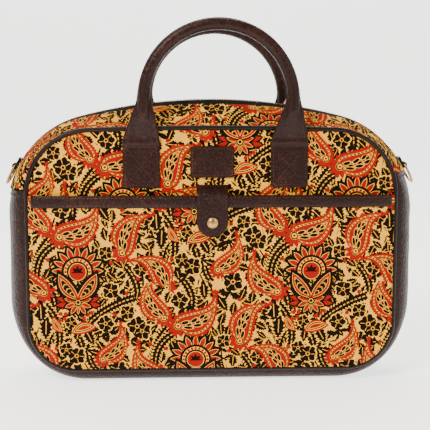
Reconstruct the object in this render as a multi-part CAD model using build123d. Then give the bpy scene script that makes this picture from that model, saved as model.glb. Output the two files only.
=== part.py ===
from build123d import *
import math
import os

# Body: the crest outline runs round the middle of the gusset, the seam outline round each panel
body_width = 400.0
crest_height = 276.5
crest_shoulder_height = 235.3
crest_top_radius = 95.0
crest_bottom_radius = 80.0
seam_width = 356.0
seam_bottom = 14.0
seam_height = 250.5
seam_shoulder_height = 246.0
seam_top_radius = 62.0
seam_bottom_radius = 46.0
seam_depth = 80.0
piping_diameter = 4.5
piping_sides = 8
gusset_wall = 2.5
panel_wall = 3.0
seat_gap = 0.15
overrun = 5.0
leather_drop_left = 20.0
leather_drop_right = 2.5

# Gusset sections from the seam to the middle: depth, side, bottom and top growth
gusset_section_shares = (
    (1.0, 0.0, 0.0, 0.0),
    (0.85, 0.5, 0.62, 0.22),
    (0.6, 0.85, 1.0, 0.5),
    (0.3, 0.98, 1.0, 0.8),
    (0.0, 1.0, 1.0, 1.0),
)

# Front pocket with its leather band
pocket_gap = 5.5
pocket_wall = 1.2
pocket_rim = 2.0
pocket_slope = 3.0
band_top = 186.5
band_height = 12.0
band_front_wall = 1.3
band_back_wall = 1.0
band_width = 342.0

# Handles: a rolled grip that flares into two sewn tabs
handle_spacing = 141.6
handle_offset = 4.0
grip_diameter = 12.0
grip_stand_off = 6.5
grip_sides = 10
arch_height = 277.4
flare_top = 268.5
flare_bottom = 233.5
tab_width = 35.6
tab_bottom = 193.4
tab_wall = 2.2
tab_corner = 4.0

# Bare leather patch
patch_width = 42.0
patch_bottom = 203.0
patch_height = 30.0
patch_wall = 1.6
patch_corner = 1.5

# Snap tab, hinged at its sewn upper edge
snap_tab_width = 30.0
snap_tab_top = 196.0
snap_tab_bottom = 146.5
snap_tab_wall = 2.0
snap_tab_bend_drop = 9.5
snap_height = 160.5
snap_cap_diameter = 10.5
snap_cap_rise = 1.8
snap_cap_edge_share = 0.35
snap_cap_crown_share = 0.7
snap_post_diameter = 3.0
snap_post_gap = 0.2
snap_socket_diameter = 9.6
snap_socket_recess = 6.6
snap_stud_diameter = 6.0
snap_standoff = 2.1
snap_back_diameter = 9.0
snap_back_wall = 0.7
snap_floor = 0.5
snap_clearance = 0.25

# Zip along the crest
zip_half_width = 12.0
tape_wall = 1.0
tape_edge = 2.1
tooth_pitch = 2.8
tooth_length = 1.15
tooth_reach = 0.9
tooth_below = 1.6
tooth_rise = 0.7
stop_length = 5.0
stop_width = 5.0

# Sliders and pulls
slider_length = 8.0
slider_apart = 0.6
slider_middle = 81.5
slider_inner_width = 6.4
slider_flange = 1.2
slider_plate = 1.4
slider_clearance = 0.35
slider_flange_drop = 0.7
slider_taper = 1.4
bridge_width = 1.8
bridge_bar = 1.2
bridge_gap = 2.4
bridge_foot = 1.4
pull_eye_gap = 0.35
pull_eye_wall = 0.8
pull_eye_length = 2.6
pull_length = 26.0
pull_width = 7.0
pull_wall = 1.6
pull_corner = 2.5
pull_rest_angle = 20.0

# Side rings in their leather loops
ring_height = 210.0
ring_width = 25.0
ring_drop = 19.0
ring_wire = 2.4
ring_sides = 6
ring_bar_corner = 2.6
ring_bow_corner = 9.5
ring_lift_angle = 0.668
loop_wall = 1.6
loop_gap = 0.4
loop_width = 15.0
loop_tail = 9.0
loop_tail_wall = 1.4

# Padding, lining and stiffeners
foam_wall = 4.0
foam_inset = 3.0
lining_wall = 0.8
divider_wall = 5.0
divider_depth = 12.0
divider_top = 190.0
divider_clearance = 1.0
board_end_clearance = 5.0
board_depth = 44.0
board_wall = 2.0
board_corner = 6.0

# Derived places
piping_radius = piping_diameter / 2
panel_inset = piping_radius + seat_gap
seam_half_depth = seam_depth / 2
gusset_half_depth = seam_half_depth - piping_radius - seat_gap
panel_front = seam_half_depth + piping_radius
panel_back = panel_front - panel_wall
pocket_back = panel_front + seat_gap
pocket_inner = panel_front + pocket_gap
pocket_front = pocket_inner + pocket_wall
sewn_face = panel_front + seat_gap
crest_sagitta = crest_height - crest_shoulder_height
crest_radius = ((body_width / 2) ** 2 + crest_sagitta ** 2) / (2 * crest_sagitta)
crest_centre = crest_height - crest_radius


def between(start, end, share):
    """Return the value at a share of the way from start to end."""
    return start + share * (end - start)


def outline(inset, side_share=0.0, bottom_share=0.0, top_share=0.0):
    """Rounded bag outline between the seam (shares 0) and the crest (shares 1), moved in by inset."""
    half_width = between(seam_width, body_width, side_share) / 2 - inset
    bottom = between(seam_bottom, 0, bottom_share) + inset
    shoulder = between(seam_shoulder_height, crest_shoulder_height, top_share) - inset
    crown = between(seam_height, crest_height, top_share) - inset
    top_radius = between(seam_top_radius, crest_top_radius, side_share) - inset
    bottom_radius = between(seam_bottom_radius, crest_bottom_radius, side_share) - inset
    edges = [
        Line((-half_width, bottom), (half_width, bottom)),
        Line((half_width, bottom), (half_width, shoulder)),
        ThreePointArc((half_width, shoulder), (0, crown), (-half_width, shoulder)),
        Line((-half_width, shoulder), (-half_width, bottom)),
    ]
    face = make_face(edges)
    face = fillet(face.vertices().sort_by(Axis.Y)[:2], bottom_radius)
    return fillet(face.vertices().sort_by(Axis.Y)[-2:], top_radius)


def facing(depth):
    """Upright plane at a distance in front of the middle of the bag, facing forwards."""
    return Plane.XZ.offset(depth)


def slab(sketch, front, wall):
    """Extrude an upright sketch backwards from its front face."""
    return extrude(facing(front - wall) * sketch, wall)


def block(low, high):
    """Box between two corners."""
    size = [b - a for a, b in zip(low, high)]
    return Pos(*low) * Box(*size, align=(Align.MIN, Align.MIN, Align.MIN))


def rounded_plate(width, bottom, height, corner):
    """Upright rectangle with rounded corners, standing on a height."""
    return Pos(0, bottom + height / 2) * RectangleRounded(width, height, corner)


def to_back(part):
    """Mirror a front piece to the back of the bag."""
    return mirror(part, about=Plane.XZ)


def to_left(part):
    """Mirror a right-hand piece to the left."""
    return mirror(part, about=Plane.YZ)


# Gusset ring: ruled bands through the outlines, from the front seam over the middle to the back


def gusset_hull(inset):
    """Solid bag form between the two seams, moved in by inset."""
    front = [(share[0] * gusset_half_depth, share[1:]) for share in gusset_section_shares]
    back = [(-depth, shares) for depth, shares in reversed(front[:-1])]
    return loft([facing(depth) * outline(inset, *shares) for depth, shares in front + back], ruled=True)


def gusset_ring(wall):
    """Band of a given wall round the bag, open at the front and back."""
    return gusset_hull(0) - gusset_hull(wall)


reach = body_width / 2 + overrun
leather_zone = Polygon(
    (-reach, -overrun),
    (reach, -overrun),
    (reach, ring_height - leather_drop_right),
    (-reach, ring_height - leather_drop_left),
    align=None,
)
leather_zone = extrude(facing(0) * leather_zone, seam_half_depth, both=True)
leather_ring = gusset_ring(gusset_wall) & leather_zone
printed_ring = gusset_ring(gusset_wall) - leather_zone
tape_ring = gusset_ring(tape_wall) - leather_zone

right_half = block((0, -seam_half_depth, -overrun), (reach, seam_half_depth, crest_height + overrun))
left_half = to_left(right_half)
front_zone = block((-reach, -seam_half_depth, 0), (reach, -zip_half_width, crest_height + overrun))
tape_zone = block((-reach, -zip_half_width, 0), (reach, -tape_edge, crest_height + overrun))

side_gusset_right = leather_ring & right_half
side_gusset_left = leather_ring & left_half
top_gusset_front = printed_ring & front_zone
top_gusset_back = to_back(top_gusset_front)
zip_tape_front = tape_ring & tape_zone
zip_tape_back = to_back(zip_tape_front)

# Panels and their piping
front_panel = slab(outline(panel_inset), panel_front, panel_wall)
back_panel = to_back(front_panel)
seam_wire = (facing(seam_half_depth) * outline(0)).wire()
piping_start = Plane(origin=seam_wire @ 0, z_dir=seam_wire % 0)
front_piping = sweep(piping_start * RegularPolygon(piping_radius, piping_sides), path=seam_wire)
back_piping = to_back(front_piping)

# Front pocket: a shallow pan, open at the top, with a rim on the panel
pocket_top = band_top - band_front_wall - seat_gap
pocket_outer = loft(
    [facing(pocket_back) * outline(panel_inset), facing(pocket_front) * outline(panel_inset + pocket_slope)],
    ruled=True,
)
pocket_hollow = loft(
    [
        facing(pocket_back) * outline(panel_inset + pocket_rim),
        facing(pocket_inner) * outline(panel_inset + pocket_slope + pocket_wall),
    ],
    ruled=True,
)
above_pocket = block((-reach, -pocket_front - overrun, pocket_top), (reach, 0, crest_height))
snap_place = facing(pocket_front) * Pos(0, snap_height)
stud_hole_radius = snap_post_diameter / 2 + snap_post_gap
stud_hole = extrude(snap_place * Circle(stud_hole_radius), pocket_wall + seat_gap, both=True)
front_pocket = pocket_outer - pocket_hollow - above_pocket - stud_hole

# Band: a folded strip over the pocket's upper edge
band_front = pocket_front + seat_gap + band_front_wall
band_back = pocket_inner - seat_gap - band_back_wall
band_low = band_top - band_height
band_half = band_width / 2
pocket_band = block((-band_half, -band_front, band_low), (band_half, -band_back, band_top))
pocket_band -= block(
    (-reach, -pocket_front - seat_gap, band_low - overrun),
    (reach, -pocket_inner + seat_gap, pocket_top + seat_gap),
)

# Handles


def grip_section(width, thickness):
    """Many-sided section of the rolled leather, round or flattened."""
    turns = [2 * math.pi * (i + 0.5) / grip_sides for i in range(grip_sides)]
    points = [(width / 2 * math.cos(turn), thickness / 2 * math.sin(turn)) for turn in turns]
    return Polygon(*points, align=None)


def handle():
    """Rolled arch on two legs, each flaring into a flat sewn tab."""
    half = handle_spacing / 2
    tab_middle = sewn_face + tab_wall / 2
    grip_middle = sewn_face + grip_stand_off
    lower_left = (-half, -grip_middle, flare_top)
    spring_left = (-half, -grip_middle, arch_height)
    spring_right = (half, -grip_middle, arch_height)
    lower_right = (half, -grip_middle, flare_top)
    crown = (0, -grip_middle, arch_height + half)
    route = Wire([
        Line(lower_left, spring_left).edge(),
        ThreePointArc(spring_left, crown, spring_right).edge(),
        Line(spring_right, lower_right).edge(),
    ])
    solid = sweep(Pos(*lower_left) * grip_section(grip_diameter, grip_diameter), path=route)
    tab_height = flare_bottom - tab_bottom
    tab_sketch = rounded_plate(tab_width, tab_bottom, tab_height + tab_corner, tab_corner)
    tab_solid = slab(tab_sketch, sewn_face + tab_wall, tab_wall)
    tab_solid -= block(
        (-tab_width, -pocket_front, flare_bottom),
        (tab_width, 0, crest_height),
    )
    for side in (-half, half):
        flare = loft(
            [
                Pos(side, -grip_middle, flare_top) * grip_section(grip_diameter, grip_diameter),
                Pos(side, -tab_middle, flare_bottom) * grip_section(tab_width, tab_wall),
            ],
            ruled=True,
        )
        solid = solid + flare + Pos(side, 0, 0) * tab_solid
    return solid


handle_front = Pos(handle_offset, 0, 0) * handle()
handle_back = to_back(handle_front)

# Patch
patch_sketch = rounded_plate(patch_width, patch_bottom, patch_height, patch_corner)
front_patch = slab(patch_sketch, sewn_face + patch_wall, patch_wall)

# Snap tab: its side profile leaves the panel, bends over the band and hangs in front of the pocket
tab_face = pocket_front + seat_gap + snap_standoff
tab_outer = tab_face + snap_tab_wall
snap_bend = snap_tab_top - snap_tab_bend_drop
side_profile = Polygon(
    (-sewn_face, snap_tab_top),
    (-sewn_face, snap_tab_top - snap_tab_wall),
    (-tab_face, snap_bend),
    (-tab_face, snap_tab_bottom),
    (-tab_outer, snap_tab_bottom),
    (-tab_outer, snap_bend + snap_tab_wall / 2),
    (-sewn_face - snap_tab_wall, snap_tab_top),
    align=None,
)
snap_tab = extrude(Plane.YZ * side_profile, snap_tab_width / 2, both=True)
round_middle = snap_tab_bottom + snap_tab_width / 2
tab_outline = Pos(0, round_middle) * Circle(snap_tab_width / 2)
tab_upright = snap_tab_top + overrun - round_middle
tab_outline += Pos(0, round_middle + tab_upright / 2) * Rectangle(snap_tab_width, tab_upright)
snap_tab &= extrude(facing(0) * tab_outline, tab_outer + overrun)
snap_tab -= extrude(snap_place * Circle(stud_hole_radius), tab_outer - pocket_front + overrun)

# Snap: cap and socket on the tab, stud and its backing disc on the pocket


def turned(points, depth):
    """Revolve a half profile, given as radius and distance forwards, about the snap's axis."""
    place = Plane(origin=(0, -depth, snap_height), x_dir=(1, 0, 0), z_dir=(0, 0, 1))
    profile = Polygon(*[(radius, -forward) for radius, forward in points], align=None)
    return revolve(place * profile, axis=Axis((0, 0, snap_height), (0, 1, 0)))


cap_radius = snap_cap_diameter / 2
post_radius = snap_post_diameter / 2
socket_radius = snap_socket_diameter / 2
recess_radius = snap_socket_recess / 2
socket_face = tab_face - seat_gap
stud_rise = snap_standoff - snap_floor - snap_clearance
cap_base = seat_gap
snap_cap = turned(
    [
        (0, -snap_tab_wall),
        (post_radius, -snap_tab_wall),
        (post_radius, cap_base),
        (cap_radius, cap_base),
        (cap_radius, cap_base + snap_cap_rise * snap_cap_edge_share),
        (cap_radius * snap_cap_crown_share, cap_base + snap_cap_rise),
        (0, cap_base + snap_cap_rise),
    ],
    tab_outer,
)
socket_depth = socket_face - pocket_front - seat_gap
snap_socket = turned(
    [
        (0, 0),
        (socket_radius, 0),
        (socket_radius, -socket_depth),
        (recess_radius, -socket_depth),
        (recess_radius, -snap_floor),
        (0, -snap_floor),
    ],
    socket_face,
)
snap_stud = turned(
    [
        (0, -pocket_wall),
        (post_radius, -pocket_wall),
        (post_radius, seat_gap),
        (snap_stud_diameter / 2, seat_gap),
        (snap_stud_diameter / 2, seat_gap + stud_rise / 2),
        (snap_stud_diameter / 2 - snap_clearance, stud_rise - snap_clearance),
        (0, stud_rise - snap_clearance),
    ],
    pocket_front,
)
snap_stud_back = turned(
    [
        (0, -seat_gap),
        (snap_back_diameter / 2, -seat_gap),
        (snap_back_diameter / 2, -seat_gap - snap_back_wall),
        (0, -seat_gap - snap_back_wall),
    ],
    pocket_inner,
)

# Side rings: bar and bow of one wire, hung in a folded leather loop
shoulder_half = body_width / 2 - crest_top_radius
shoulder_offset = crest_radius - crest_top_radius
shoulder_centre = crest_centre + math.sqrt(shoulder_offset ** 2 - shoulder_half ** 2)
surface_angle = math.asin((ring_height - shoulder_centre) / crest_top_radius)
loop_bore = ring_wire / 2 + loop_gap
loop_radius = loop_bore + loop_wall
ring_stand = crest_top_radius + loop_radius + seat_gap
ring_x = shoulder_half + ring_stand * math.cos(surface_angle)
ring_z = shoulder_centre + ring_stand * math.sin(surface_angle)
loop_plane = Plane(
    origin=(ring_x, 0, ring_z),
    x_dir=(math.cos(surface_angle), 0, math.sin(surface_angle)),
    z_dir=(0, -1, 0),
)
loop_sketch = Circle(loop_radius)
loop_sketch += Pos(-loop_radius + loop_tail_wall / 2, loop_tail / 2) * Rectangle(loop_tail_wall, loop_tail)
loop_sketch -= Circle(loop_bore)
ring_loop_right = extrude(loop_plane * loop_sketch, loop_width / 2, both=True)
ring_loop_left = to_left(ring_loop_right)

hang = surface_angle + math.radians(ring_lift_angle)
ring_plane = Plane(
    origin=(ring_x, 0, ring_z),
    x_dir=(0, 1, 0),
    z_dir=(math.cos(hang), 0, math.sin(hang)),
)
ring_sketch = Pos(0, -ring_drop / 2) * Rectangle(ring_width - ring_wire, ring_drop)
ring_sketch = fillet(ring_sketch.vertices().sort_by(Axis.Y)[:2], ring_bow_corner)
ring_sketch = fillet(ring_sketch.vertices().sort_by(Axis.Y)[-2:], ring_bar_corner)
ring_wire_path = (ring_plane * ring_sketch).wire()
ring_start = Plane(origin=ring_wire_path @ 0, z_dir=ring_wire_path % 0)
d_ring_right = sweep(ring_start * RegularPolygon(ring_wire / 2, ring_sides), path=ring_wire_path)
d_ring_left = to_left(d_ring_right)

# Zip teeth: two rows that interlock along the crest, between the side loops
crest_edges = (facing(0) * outline(0, 1, 1, 1)).edges().sort_by(Axis.Z)[-3:]
crest_path = Wire(crest_edges)
zip_low = ring_z + loop_tail + stop_length
half_pitch = tooth_pitch / 2


def crest_frame(distance):
    """Plane on the crest at a distance along it: x along the zip, z outwards."""
    along = crest_path.tangent_at(distance, position_mode=PositionMode.LENGTH)
    if crest_path.position_at(0).X > 0:
        along = -along
    place = crest_path.position_at(distance, position_mode=PositionMode.LENGTH)
    return Plane(origin=place, x_dir=along, z_dir=(-along.Z, 0, along.X))


crest_middle = crest_path.length / 2
tooth_count = int(crest_middle / half_pitch)
teeth = {True: [], False: []}
stop_places = []
for step in range(-tooth_count, tooth_count):
    frame = crest_frame(crest_middle + (step + 0.5) * half_pitch)
    if frame.origin.Z < zip_low:
        stop_places.append(frame)
        continue
    is_front = step % 2 == 0
    low = (-tooth_length / 2, -tape_edge + seat_gap, -tooth_below)
    high = (tooth_length / 2, tooth_reach, tooth_rise)
    if not is_front:
        low = (low[0], -tooth_reach, low[2])
        high = (high[0], tape_edge - seat_gap, high[2])
    teeth[is_front].append(frame * block(low, high))
zip_teeth_front = Compound(teeth[True])
zip_teeth_back = Compound(teeth[False])

# Stops: one clamp past the last tooth at each end
left_places = [place for place in stop_places if place.origin.X < 0]
right_places = [place for place in stop_places if place.origin.X > 0]
stop_block = block(
    (-stop_length / 2, -stop_width / 2, seat_gap),
    (stop_length / 2, stop_width / 2, seat_gap + tooth_rise),
)
stop_steps = math.ceil(stop_length / 2 / half_pitch)
left_places.sort(key=lambda place: -place.origin.Z)
right_places.sort(key=lambda place: -place.origin.Z)
zip_stops = Compound([left_places[stop_steps] * stop_block, right_places[stop_steps] * stop_block])

# Sliders: a plate with side flanges over the teeth and a bridge for the pull
plate_low = tooth_rise + slider_clearance
plate_high = plate_low + slider_plate
slider_half = slider_inner_width / 2 + slider_flange
bar_middle = plate_high + bridge_gap + bridge_bar / 2


def slider_body():
    """Slider at the top of the crest, before it is turned to its place."""
    waist = slider_half - slider_taper
    half_length = slider_length / 2
    plan = Polygon(
        (-half_length, -slider_half),
        (0, -slider_half),
        (half_length, -waist),
        (half_length, waist),
        (0, slider_half),
        (-half_length, slider_half),
        align=None,
    )
    solid = extrude(Pos(0, 0, plate_low) * plan, slider_plate)
    for side in (-1, 1):
        inner = side * slider_inner_width / 2
        outer = side * slider_half
        flange_low = (-half_length, min(inner, outer), plate_low - slider_flange_drop)
        flange_high = (0, max(inner, outer), plate_low)
        solid += block(flange_low, flange_high)
    bridge_half = half_length - bridge_foot / 2
    bridge = block(
        (-bridge_half, -bridge_width / 2, plate_high),
        (bridge_half, bridge_width / 2, plate_high + bridge_gap + bridge_bar),
    )
    bridge -= block(
        (-bridge_half + bridge_foot, -slider_half, plate_high),
        (bridge_half - bridge_foot, slider_half, plate_high + bridge_gap),
    )
    return solid + bridge


def pull_body():
    """Pull with an eye round the bridge bar, lying over the back of the zip."""
    eye_bore = math.hypot(bridge_bar, bridge_width) / 2 + pull_eye_gap
    eye_radius = eye_bore + pull_eye_wall
    eye = Circle(eye_radius) - Circle(eye_bore)
    solid = extrude(Plane.YZ * eye, pull_eye_length / 2, both=True)
    plate_start = (eye_bore + eye_radius) / 2
    neck = block(
        (-pull_eye_length / 2, plate_start, -pull_wall / 2),
        (pull_eye_length / 2, eye_radius + pull_corner, pull_wall / 2),
    )
    plate_length = pull_length - eye_radius
    plate = Pos(0, eye_radius + plate_length / 2) * RectangleRounded(pull_width, plate_length, pull_corner)
    solid = solid + neck + extrude(Pos(0, 0, -pull_wall / 2) * plate, pull_wall)
    return Pos(0, 0, bar_middle) * Rot(-pull_rest_angle, 0, 0) * solid


def on_crest(part, distance):
    """Carry a part from the top of the crest along the arc to a distance from the middle."""
    turn = math.degrees(math.asin(distance / crest_radius))
    return Pos(0, 0, crest_centre) * Rot(0, turn, 0) * Pos(0, 0, crest_radius) * part


slider_step = (slider_length + slider_apart) / 2
about_face = Rot(0, 0, 180)
zip_slider_left = on_crest(about_face * slider_body(), slider_middle - slider_step)
zip_slider_right = on_crest(slider_body(), slider_middle + slider_step)
zip_pull_left = on_crest(pull_body(), slider_middle - slider_step)
zip_pull_right = on_crest(pull_body(), slider_middle + slider_step)

# Padding, lining, divider and base board
foam_front_face = panel_back - seat_gap
foam_front = slab(outline(panel_inset + foam_inset), foam_front_face, foam_wall)
foam_back = to_back(foam_front)
lining_face = foam_front_face - foam_wall - seat_gap
lining_front = slab(outline(panel_inset + foam_inset), lining_face, lining_wall)
lining_back = to_back(lining_front)
board_low = gusset_wall + seat_gap
board_width = body_width - 2 * (crest_bottom_radius + board_end_clearance)
base_board = Pos(0, 0, board_low) * extrude(RectangleRounded(board_width, board_depth, board_corner), board_wall)
divider_low = board_low + board_wall + seat_gap
divider_sketch = Pos(0, (divider_low + divider_top) / 2) * Rectangle(body_width, divider_top - divider_low)
laptop_divider = slab(divider_sketch, -divider_depth + divider_wall / 2, divider_wall)
laptop_divider &= gusset_hull(gusset_wall + divider_clearance)

nodes = {
    "front_panel": front_panel,
    "back_panel": back_panel,
    "front_pocket": front_pocket,
    "pocket_band": pocket_band,
    "front_piping": front_piping,
    "back_piping": back_piping,
    "top_gusset_front": top_gusset_front,
    "top_gusset_back": top_gusset_back,
    "side_gusset_left": side_gusset_left,
    "side_gusset_right": side_gusset_right,
    "zip_tape_front": zip_tape_front,
    "zip_tape_back": zip_tape_back,
    "zip_teeth_front": zip_teeth_front,
    "zip_teeth_back": zip_teeth_back,
    "zip_stops": zip_stops,
    "zip_slider_left": zip_slider_left,
    "zip_slider_right": zip_slider_right,
    "zip_pull_left": zip_pull_left,
    "zip_pull_right": zip_pull_right,
    "handle_front": handle_front,
    "handle_back": handle_back,
    "front_patch": front_patch,
    "ring_loop_left": ring_loop_left,
    "ring_loop_right": ring_loop_right,
    "d_ring_left": d_ring_left,
    "d_ring_right": d_ring_right,
    "snap_tab": snap_tab,
    "snap_cap": snap_cap,
    "snap_socket": snap_socket,
    "snap_stud": snap_stud,
    "snap_stud_back": snap_stud_back,
    "foam_front": foam_front,
    "foam_back": foam_back,
    "lining_front": lining_front,
    "lining_back": lining_back,
    "laptop_divider": laptop_divider,
    "base_board": base_board,
}

os.makedirs("parts", exist_ok=True)
for name, solid in nodes.items():
    export_step(solid, os.path.join("parts", name + ".step"))

print("crest radius and centre", round(crest_radius, 2), round(crest_centre, 2))
print("ring hinge", round(ring_x, 2), round(ring_z, 2))
print("pull hinge above the crest", round(bar_middle, 2))
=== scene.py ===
import logging
import math
from contextlib import contextmanager
from dataclasses import dataclass
from enum import Enum
from typing import Any, Iterator, Optional, Sequence

import bmesh
import bpy
import mathutils
import numpy as np
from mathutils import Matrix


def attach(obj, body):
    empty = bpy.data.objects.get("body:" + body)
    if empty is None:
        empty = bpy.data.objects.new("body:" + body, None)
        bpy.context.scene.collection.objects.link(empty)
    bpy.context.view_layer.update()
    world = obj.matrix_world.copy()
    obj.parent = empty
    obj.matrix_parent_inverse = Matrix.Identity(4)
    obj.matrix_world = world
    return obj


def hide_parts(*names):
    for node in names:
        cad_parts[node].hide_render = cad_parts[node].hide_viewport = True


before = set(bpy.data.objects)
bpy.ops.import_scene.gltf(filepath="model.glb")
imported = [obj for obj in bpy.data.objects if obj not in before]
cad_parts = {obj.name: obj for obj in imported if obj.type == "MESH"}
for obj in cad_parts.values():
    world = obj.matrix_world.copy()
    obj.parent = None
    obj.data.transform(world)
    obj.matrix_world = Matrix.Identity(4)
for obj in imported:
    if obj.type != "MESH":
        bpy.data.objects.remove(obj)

LOG = logging.getLogger("laptop_bag")
MM = 0.001
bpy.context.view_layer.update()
Array = np.ndarray
RIPPLE_WAVES = ((0.4, 1.0), (1.7, 0.63), (2.9, 0.41), (5.1, 0.27))
MERGE_DISTANCE = 1e-7


class Named(Enum):
    """Options whose names stand in the names of pieces."""

    @property
    def word(self) -> str:
        """Name of the option in small letters."""
        return self.name.lower()


class Side(Named):
    """Front or back of the bag, as the sign of its y direction."""

    FRONT = -1
    BACK = 1


class Hand(Named):
    """Left or right end of the bag, as the sign of its x direction."""

    LEFT = -1
    RIGHT = 1


# Meshes


def smooth_step(value: Array, low: float, high: float) -> Array:
    """Rise from 0 at low to 1 at high along a cubic with level ends.

    Args:
        value: Places to work out.
        low: Where the rise starts.
        high: Where it ends.

    Returns:
        The rise at each place.
    """
    share = np.clip((value - low) / (high - low), 0.0, 1.0)
    return share * share * (3.0 - 2.0 * share)


def ripple(a: Array, b: Array, wave: float, seed: float) -> Array:
    """Sum of slanted sines with unrelated wavelengths, between about -1 and 1.

    Args:
        a: First place, in mm.
        b: Second place, in mm.
        wave: Longest wavelength, in mm.
        seed: Shift that makes one ripple unlike another.

    Returns:
        The ripple at each place.
    """
    total = np.zeros(np.broadcast(a, b).shape)
    for step, (turn, ratio) in enumerate(RIPPLE_WAVES):
        along = a * math.cos(turn + seed) + b * math.sin(turn + seed)
        total = total + np.sin(2 * math.pi * along / (wave * ratio) + seed * (step + 1)) * ratio
    return total / 2.0


class Piece:
    """A mesh object with its place in its mesh, its finish, its body and its slot."""

    def __init__(self, name: str, vertices: Array, faces: list, uv: Optional[Array] = None) -> None:
        """Make the object from arrays in mm.

        Args:
            name: Name of the piece.
            vertices: One row for each vertex, in mm.
            faces: Rows of vertex numbers.
            uv: Flat place of each vertex, in mm.
        """
        mesh = bpy.data.meshes.new(name)
        mesh.from_pydata((np.asarray(vertices) * MM).tolist(), [], faces)
        if uv is not None:
            corners = np.empty(len(mesh.loops), dtype=np.int32)
            mesh.loops.foreach_get("vertex_index", corners)
            layer = mesh.uv_layers.new(name="flat")
            layer.data.foreach_set("uv", (np.asarray(uv)[corners] * MM).astype(np.float32).ravel())
        mesh.polygons.foreach_set("use_smooth", np.ones(len(mesh.polygons), dtype=bool))
        self.object = bpy.data.objects.new(name, mesh)
        bpy.context.scene.collection.objects.link(self.object)

    def outward(self) -> "Piece":
        """Merge doubled vertices and turn the faces of a closed form outwards.

        Returns:
            The piece itself.
        """
        form = bmesh.new()
        form.from_mesh(self.object.data)
        bmesh.ops.remove_doubles(form, verts=form.verts, dist=MERGE_DISTANCE)
        bmesh.ops.recalc_face_normals(form, faces=form.faces)
        form.to_mesh(self.object.data)
        form.free()
        polygons = self.object.data.polygons
        polygons.foreach_set("use_smooth", np.ones(len(polygons), dtype=bool))
        return self

    def thick(self, wall: float, offset: float = -1.0) -> "Piece":
        """Give a sheet its wall behind its outer face.

        Args:
            wall: Thickness, in mm.
            offset: Which side it grows to: -1 behind the face, 1 before it.

        Returns:
            The piece itself.
        """
        solid = self.object.modifiers.new("wall", "SOLIDIFY")
        solid.thickness = wall * MM
        solid.offset = offset
        solid.use_even_offset = True
        return self

    def dressed(self, material: bpy.types.Material, slot: str, body: str, *nodes: str) -> "Piece":
        """Give the piece its finish and body, and hide the solids that it stands for.

        Args:
            material: The finish.
            slot: Name of a material slot; not used.
            body: Body that carries the piece.
            nodes: Solids that it replaces.

        Returns:
            The piece itself.
        """
        self.object.data.materials.append(material)
        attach(self.object, body)
        if nodes:
            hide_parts(*nodes)
        LOG.info("%s: %d faces on %s", self.object.name, len(self.object.data.polygons), body)
        return self


def grid_faces(rows: int, columns: int, wrap_rows: bool, wrap_columns: bool, flip: bool) -> list:
    """Four-sided faces between neighbours of a grid of vertices, counted row by row.

    Args:
        rows: Vertices in the first direction.
        columns: Vertices in the second direction.
        wrap_rows: Whether the last row joins the first.
        wrap_columns: Whether the last column joins the first.
        flip: Whether to turn every face over.

    Returns:
        Rows of four vertex numbers.
    """
    row = np.arange(rows if wrap_rows else rows - 1)[:, None]
    column = np.arange(columns if wrap_columns else columns - 1)[None, :]
    next_row = (row + 1) % rows
    next_column = (column + 1) % columns
    corners = [row * columns + column, next_row * columns + column,
               next_row * columns + next_column, row * columns + next_column]
    faces = np.stack(np.broadcast_arrays(*corners), axis=-1).reshape(-1, 4)
    return (faces[:, ::-1] if flip else faces).tolist()


def grid_piece(name: str, points: Array, uv: Optional[Array] = None, wrap_rows: bool = False,
               wrap_columns: bool = False, flip: bool = False) -> Piece:
    """Make a piece from a grid of points, shape (rows, columns, 3), in mm.

    Args:
        name: Name of the piece.
        points: The grid.
        uv: Flat places, shape (rows, columns, 2), in mm.
        wrap_rows: Whether the last row joins the first.
        wrap_columns: Whether the last column joins the first.
        flip: Whether to turn every face over.

    Returns:
        The piece.
    """
    rows, columns = points.shape[:2]
    faces = grid_faces(rows, columns, wrap_rows, wrap_columns, flip)
    flat = None if uv is None else uv.reshape(-1, 2)
    return Piece(name, points.reshape(-1, 3), faces, flat)


def carried(name: str, path: Array, across: Array, up: Array, profile: Array,
            closed: bool = False) -> Piece:
    """Carry a closed profile along a path: point + profile x * across + profile y * up, ends capped.

    Args:
        name: Name of the piece.
        path: Points, shape (n, 3), in mm.
        across: Unit vectors for the profile's x, shape (n, 3).
        up: Unit vectors for the profile's y, shape (n, 3).
        profile: Closed profile, shape (m, 2) or (n, m, 2), in mm.
        closed: Whether the path runs back to its start.

    Returns:
        The piece, with its faces outwards.
    """
    section = np.broadcast_to(profile, (len(path),) + profile.shape[-2:])
    points = path[:, None] + section[..., :1] * across[:, None] + section[..., 1:] * up[:, None]
    rows, columns = points.shape[:2]
    faces = grid_faces(rows, columns, closed, True, False)
    if not closed:
        faces.append(list(range(columns)))
        faces.append(list(range((rows - 1) * columns, rows * columns))[::-1])
    return Piece(name, points.reshape(-1, 3), faces).outward()


def oval(width: float, height: float, count: int, power: float = 2.0) -> Array:
    """Closed superellipse: x to the power plus y to the power is one.

    Args:
        width: Size in x, in mm.
        height: Size in y, in mm.
        count: Number of points.
        power: 2 for an ellipse, more for squarer corners.

    Returns:
        Points, shape (count, 2), in mm.
    """
    turn = np.linspace(0, 2 * math.pi, count, endpoint=False) + math.pi / count
    cosine, sine = np.cos(turn), np.sin(turn)
    x = np.sign(cosine) * np.abs(cosine) ** (2 / power) * width / 2
    y = np.sign(sine) * np.abs(sine) ** (2 / power) * height / 2
    return np.stack([x, y], axis=-1)


def widened(section: Array, wide: Array) -> Array:
    """Scale a profile's x by a width for each point of a path.

    Args:
        section: Profile, shape (m, 2).
        wide: Width at each point, shape (n,).

    Returns:
        Profiles, shape (n, m, 2).
    """
    return section[None] * np.stack([wide, np.ones_like(wide)], axis=-1)[:, None]


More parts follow.
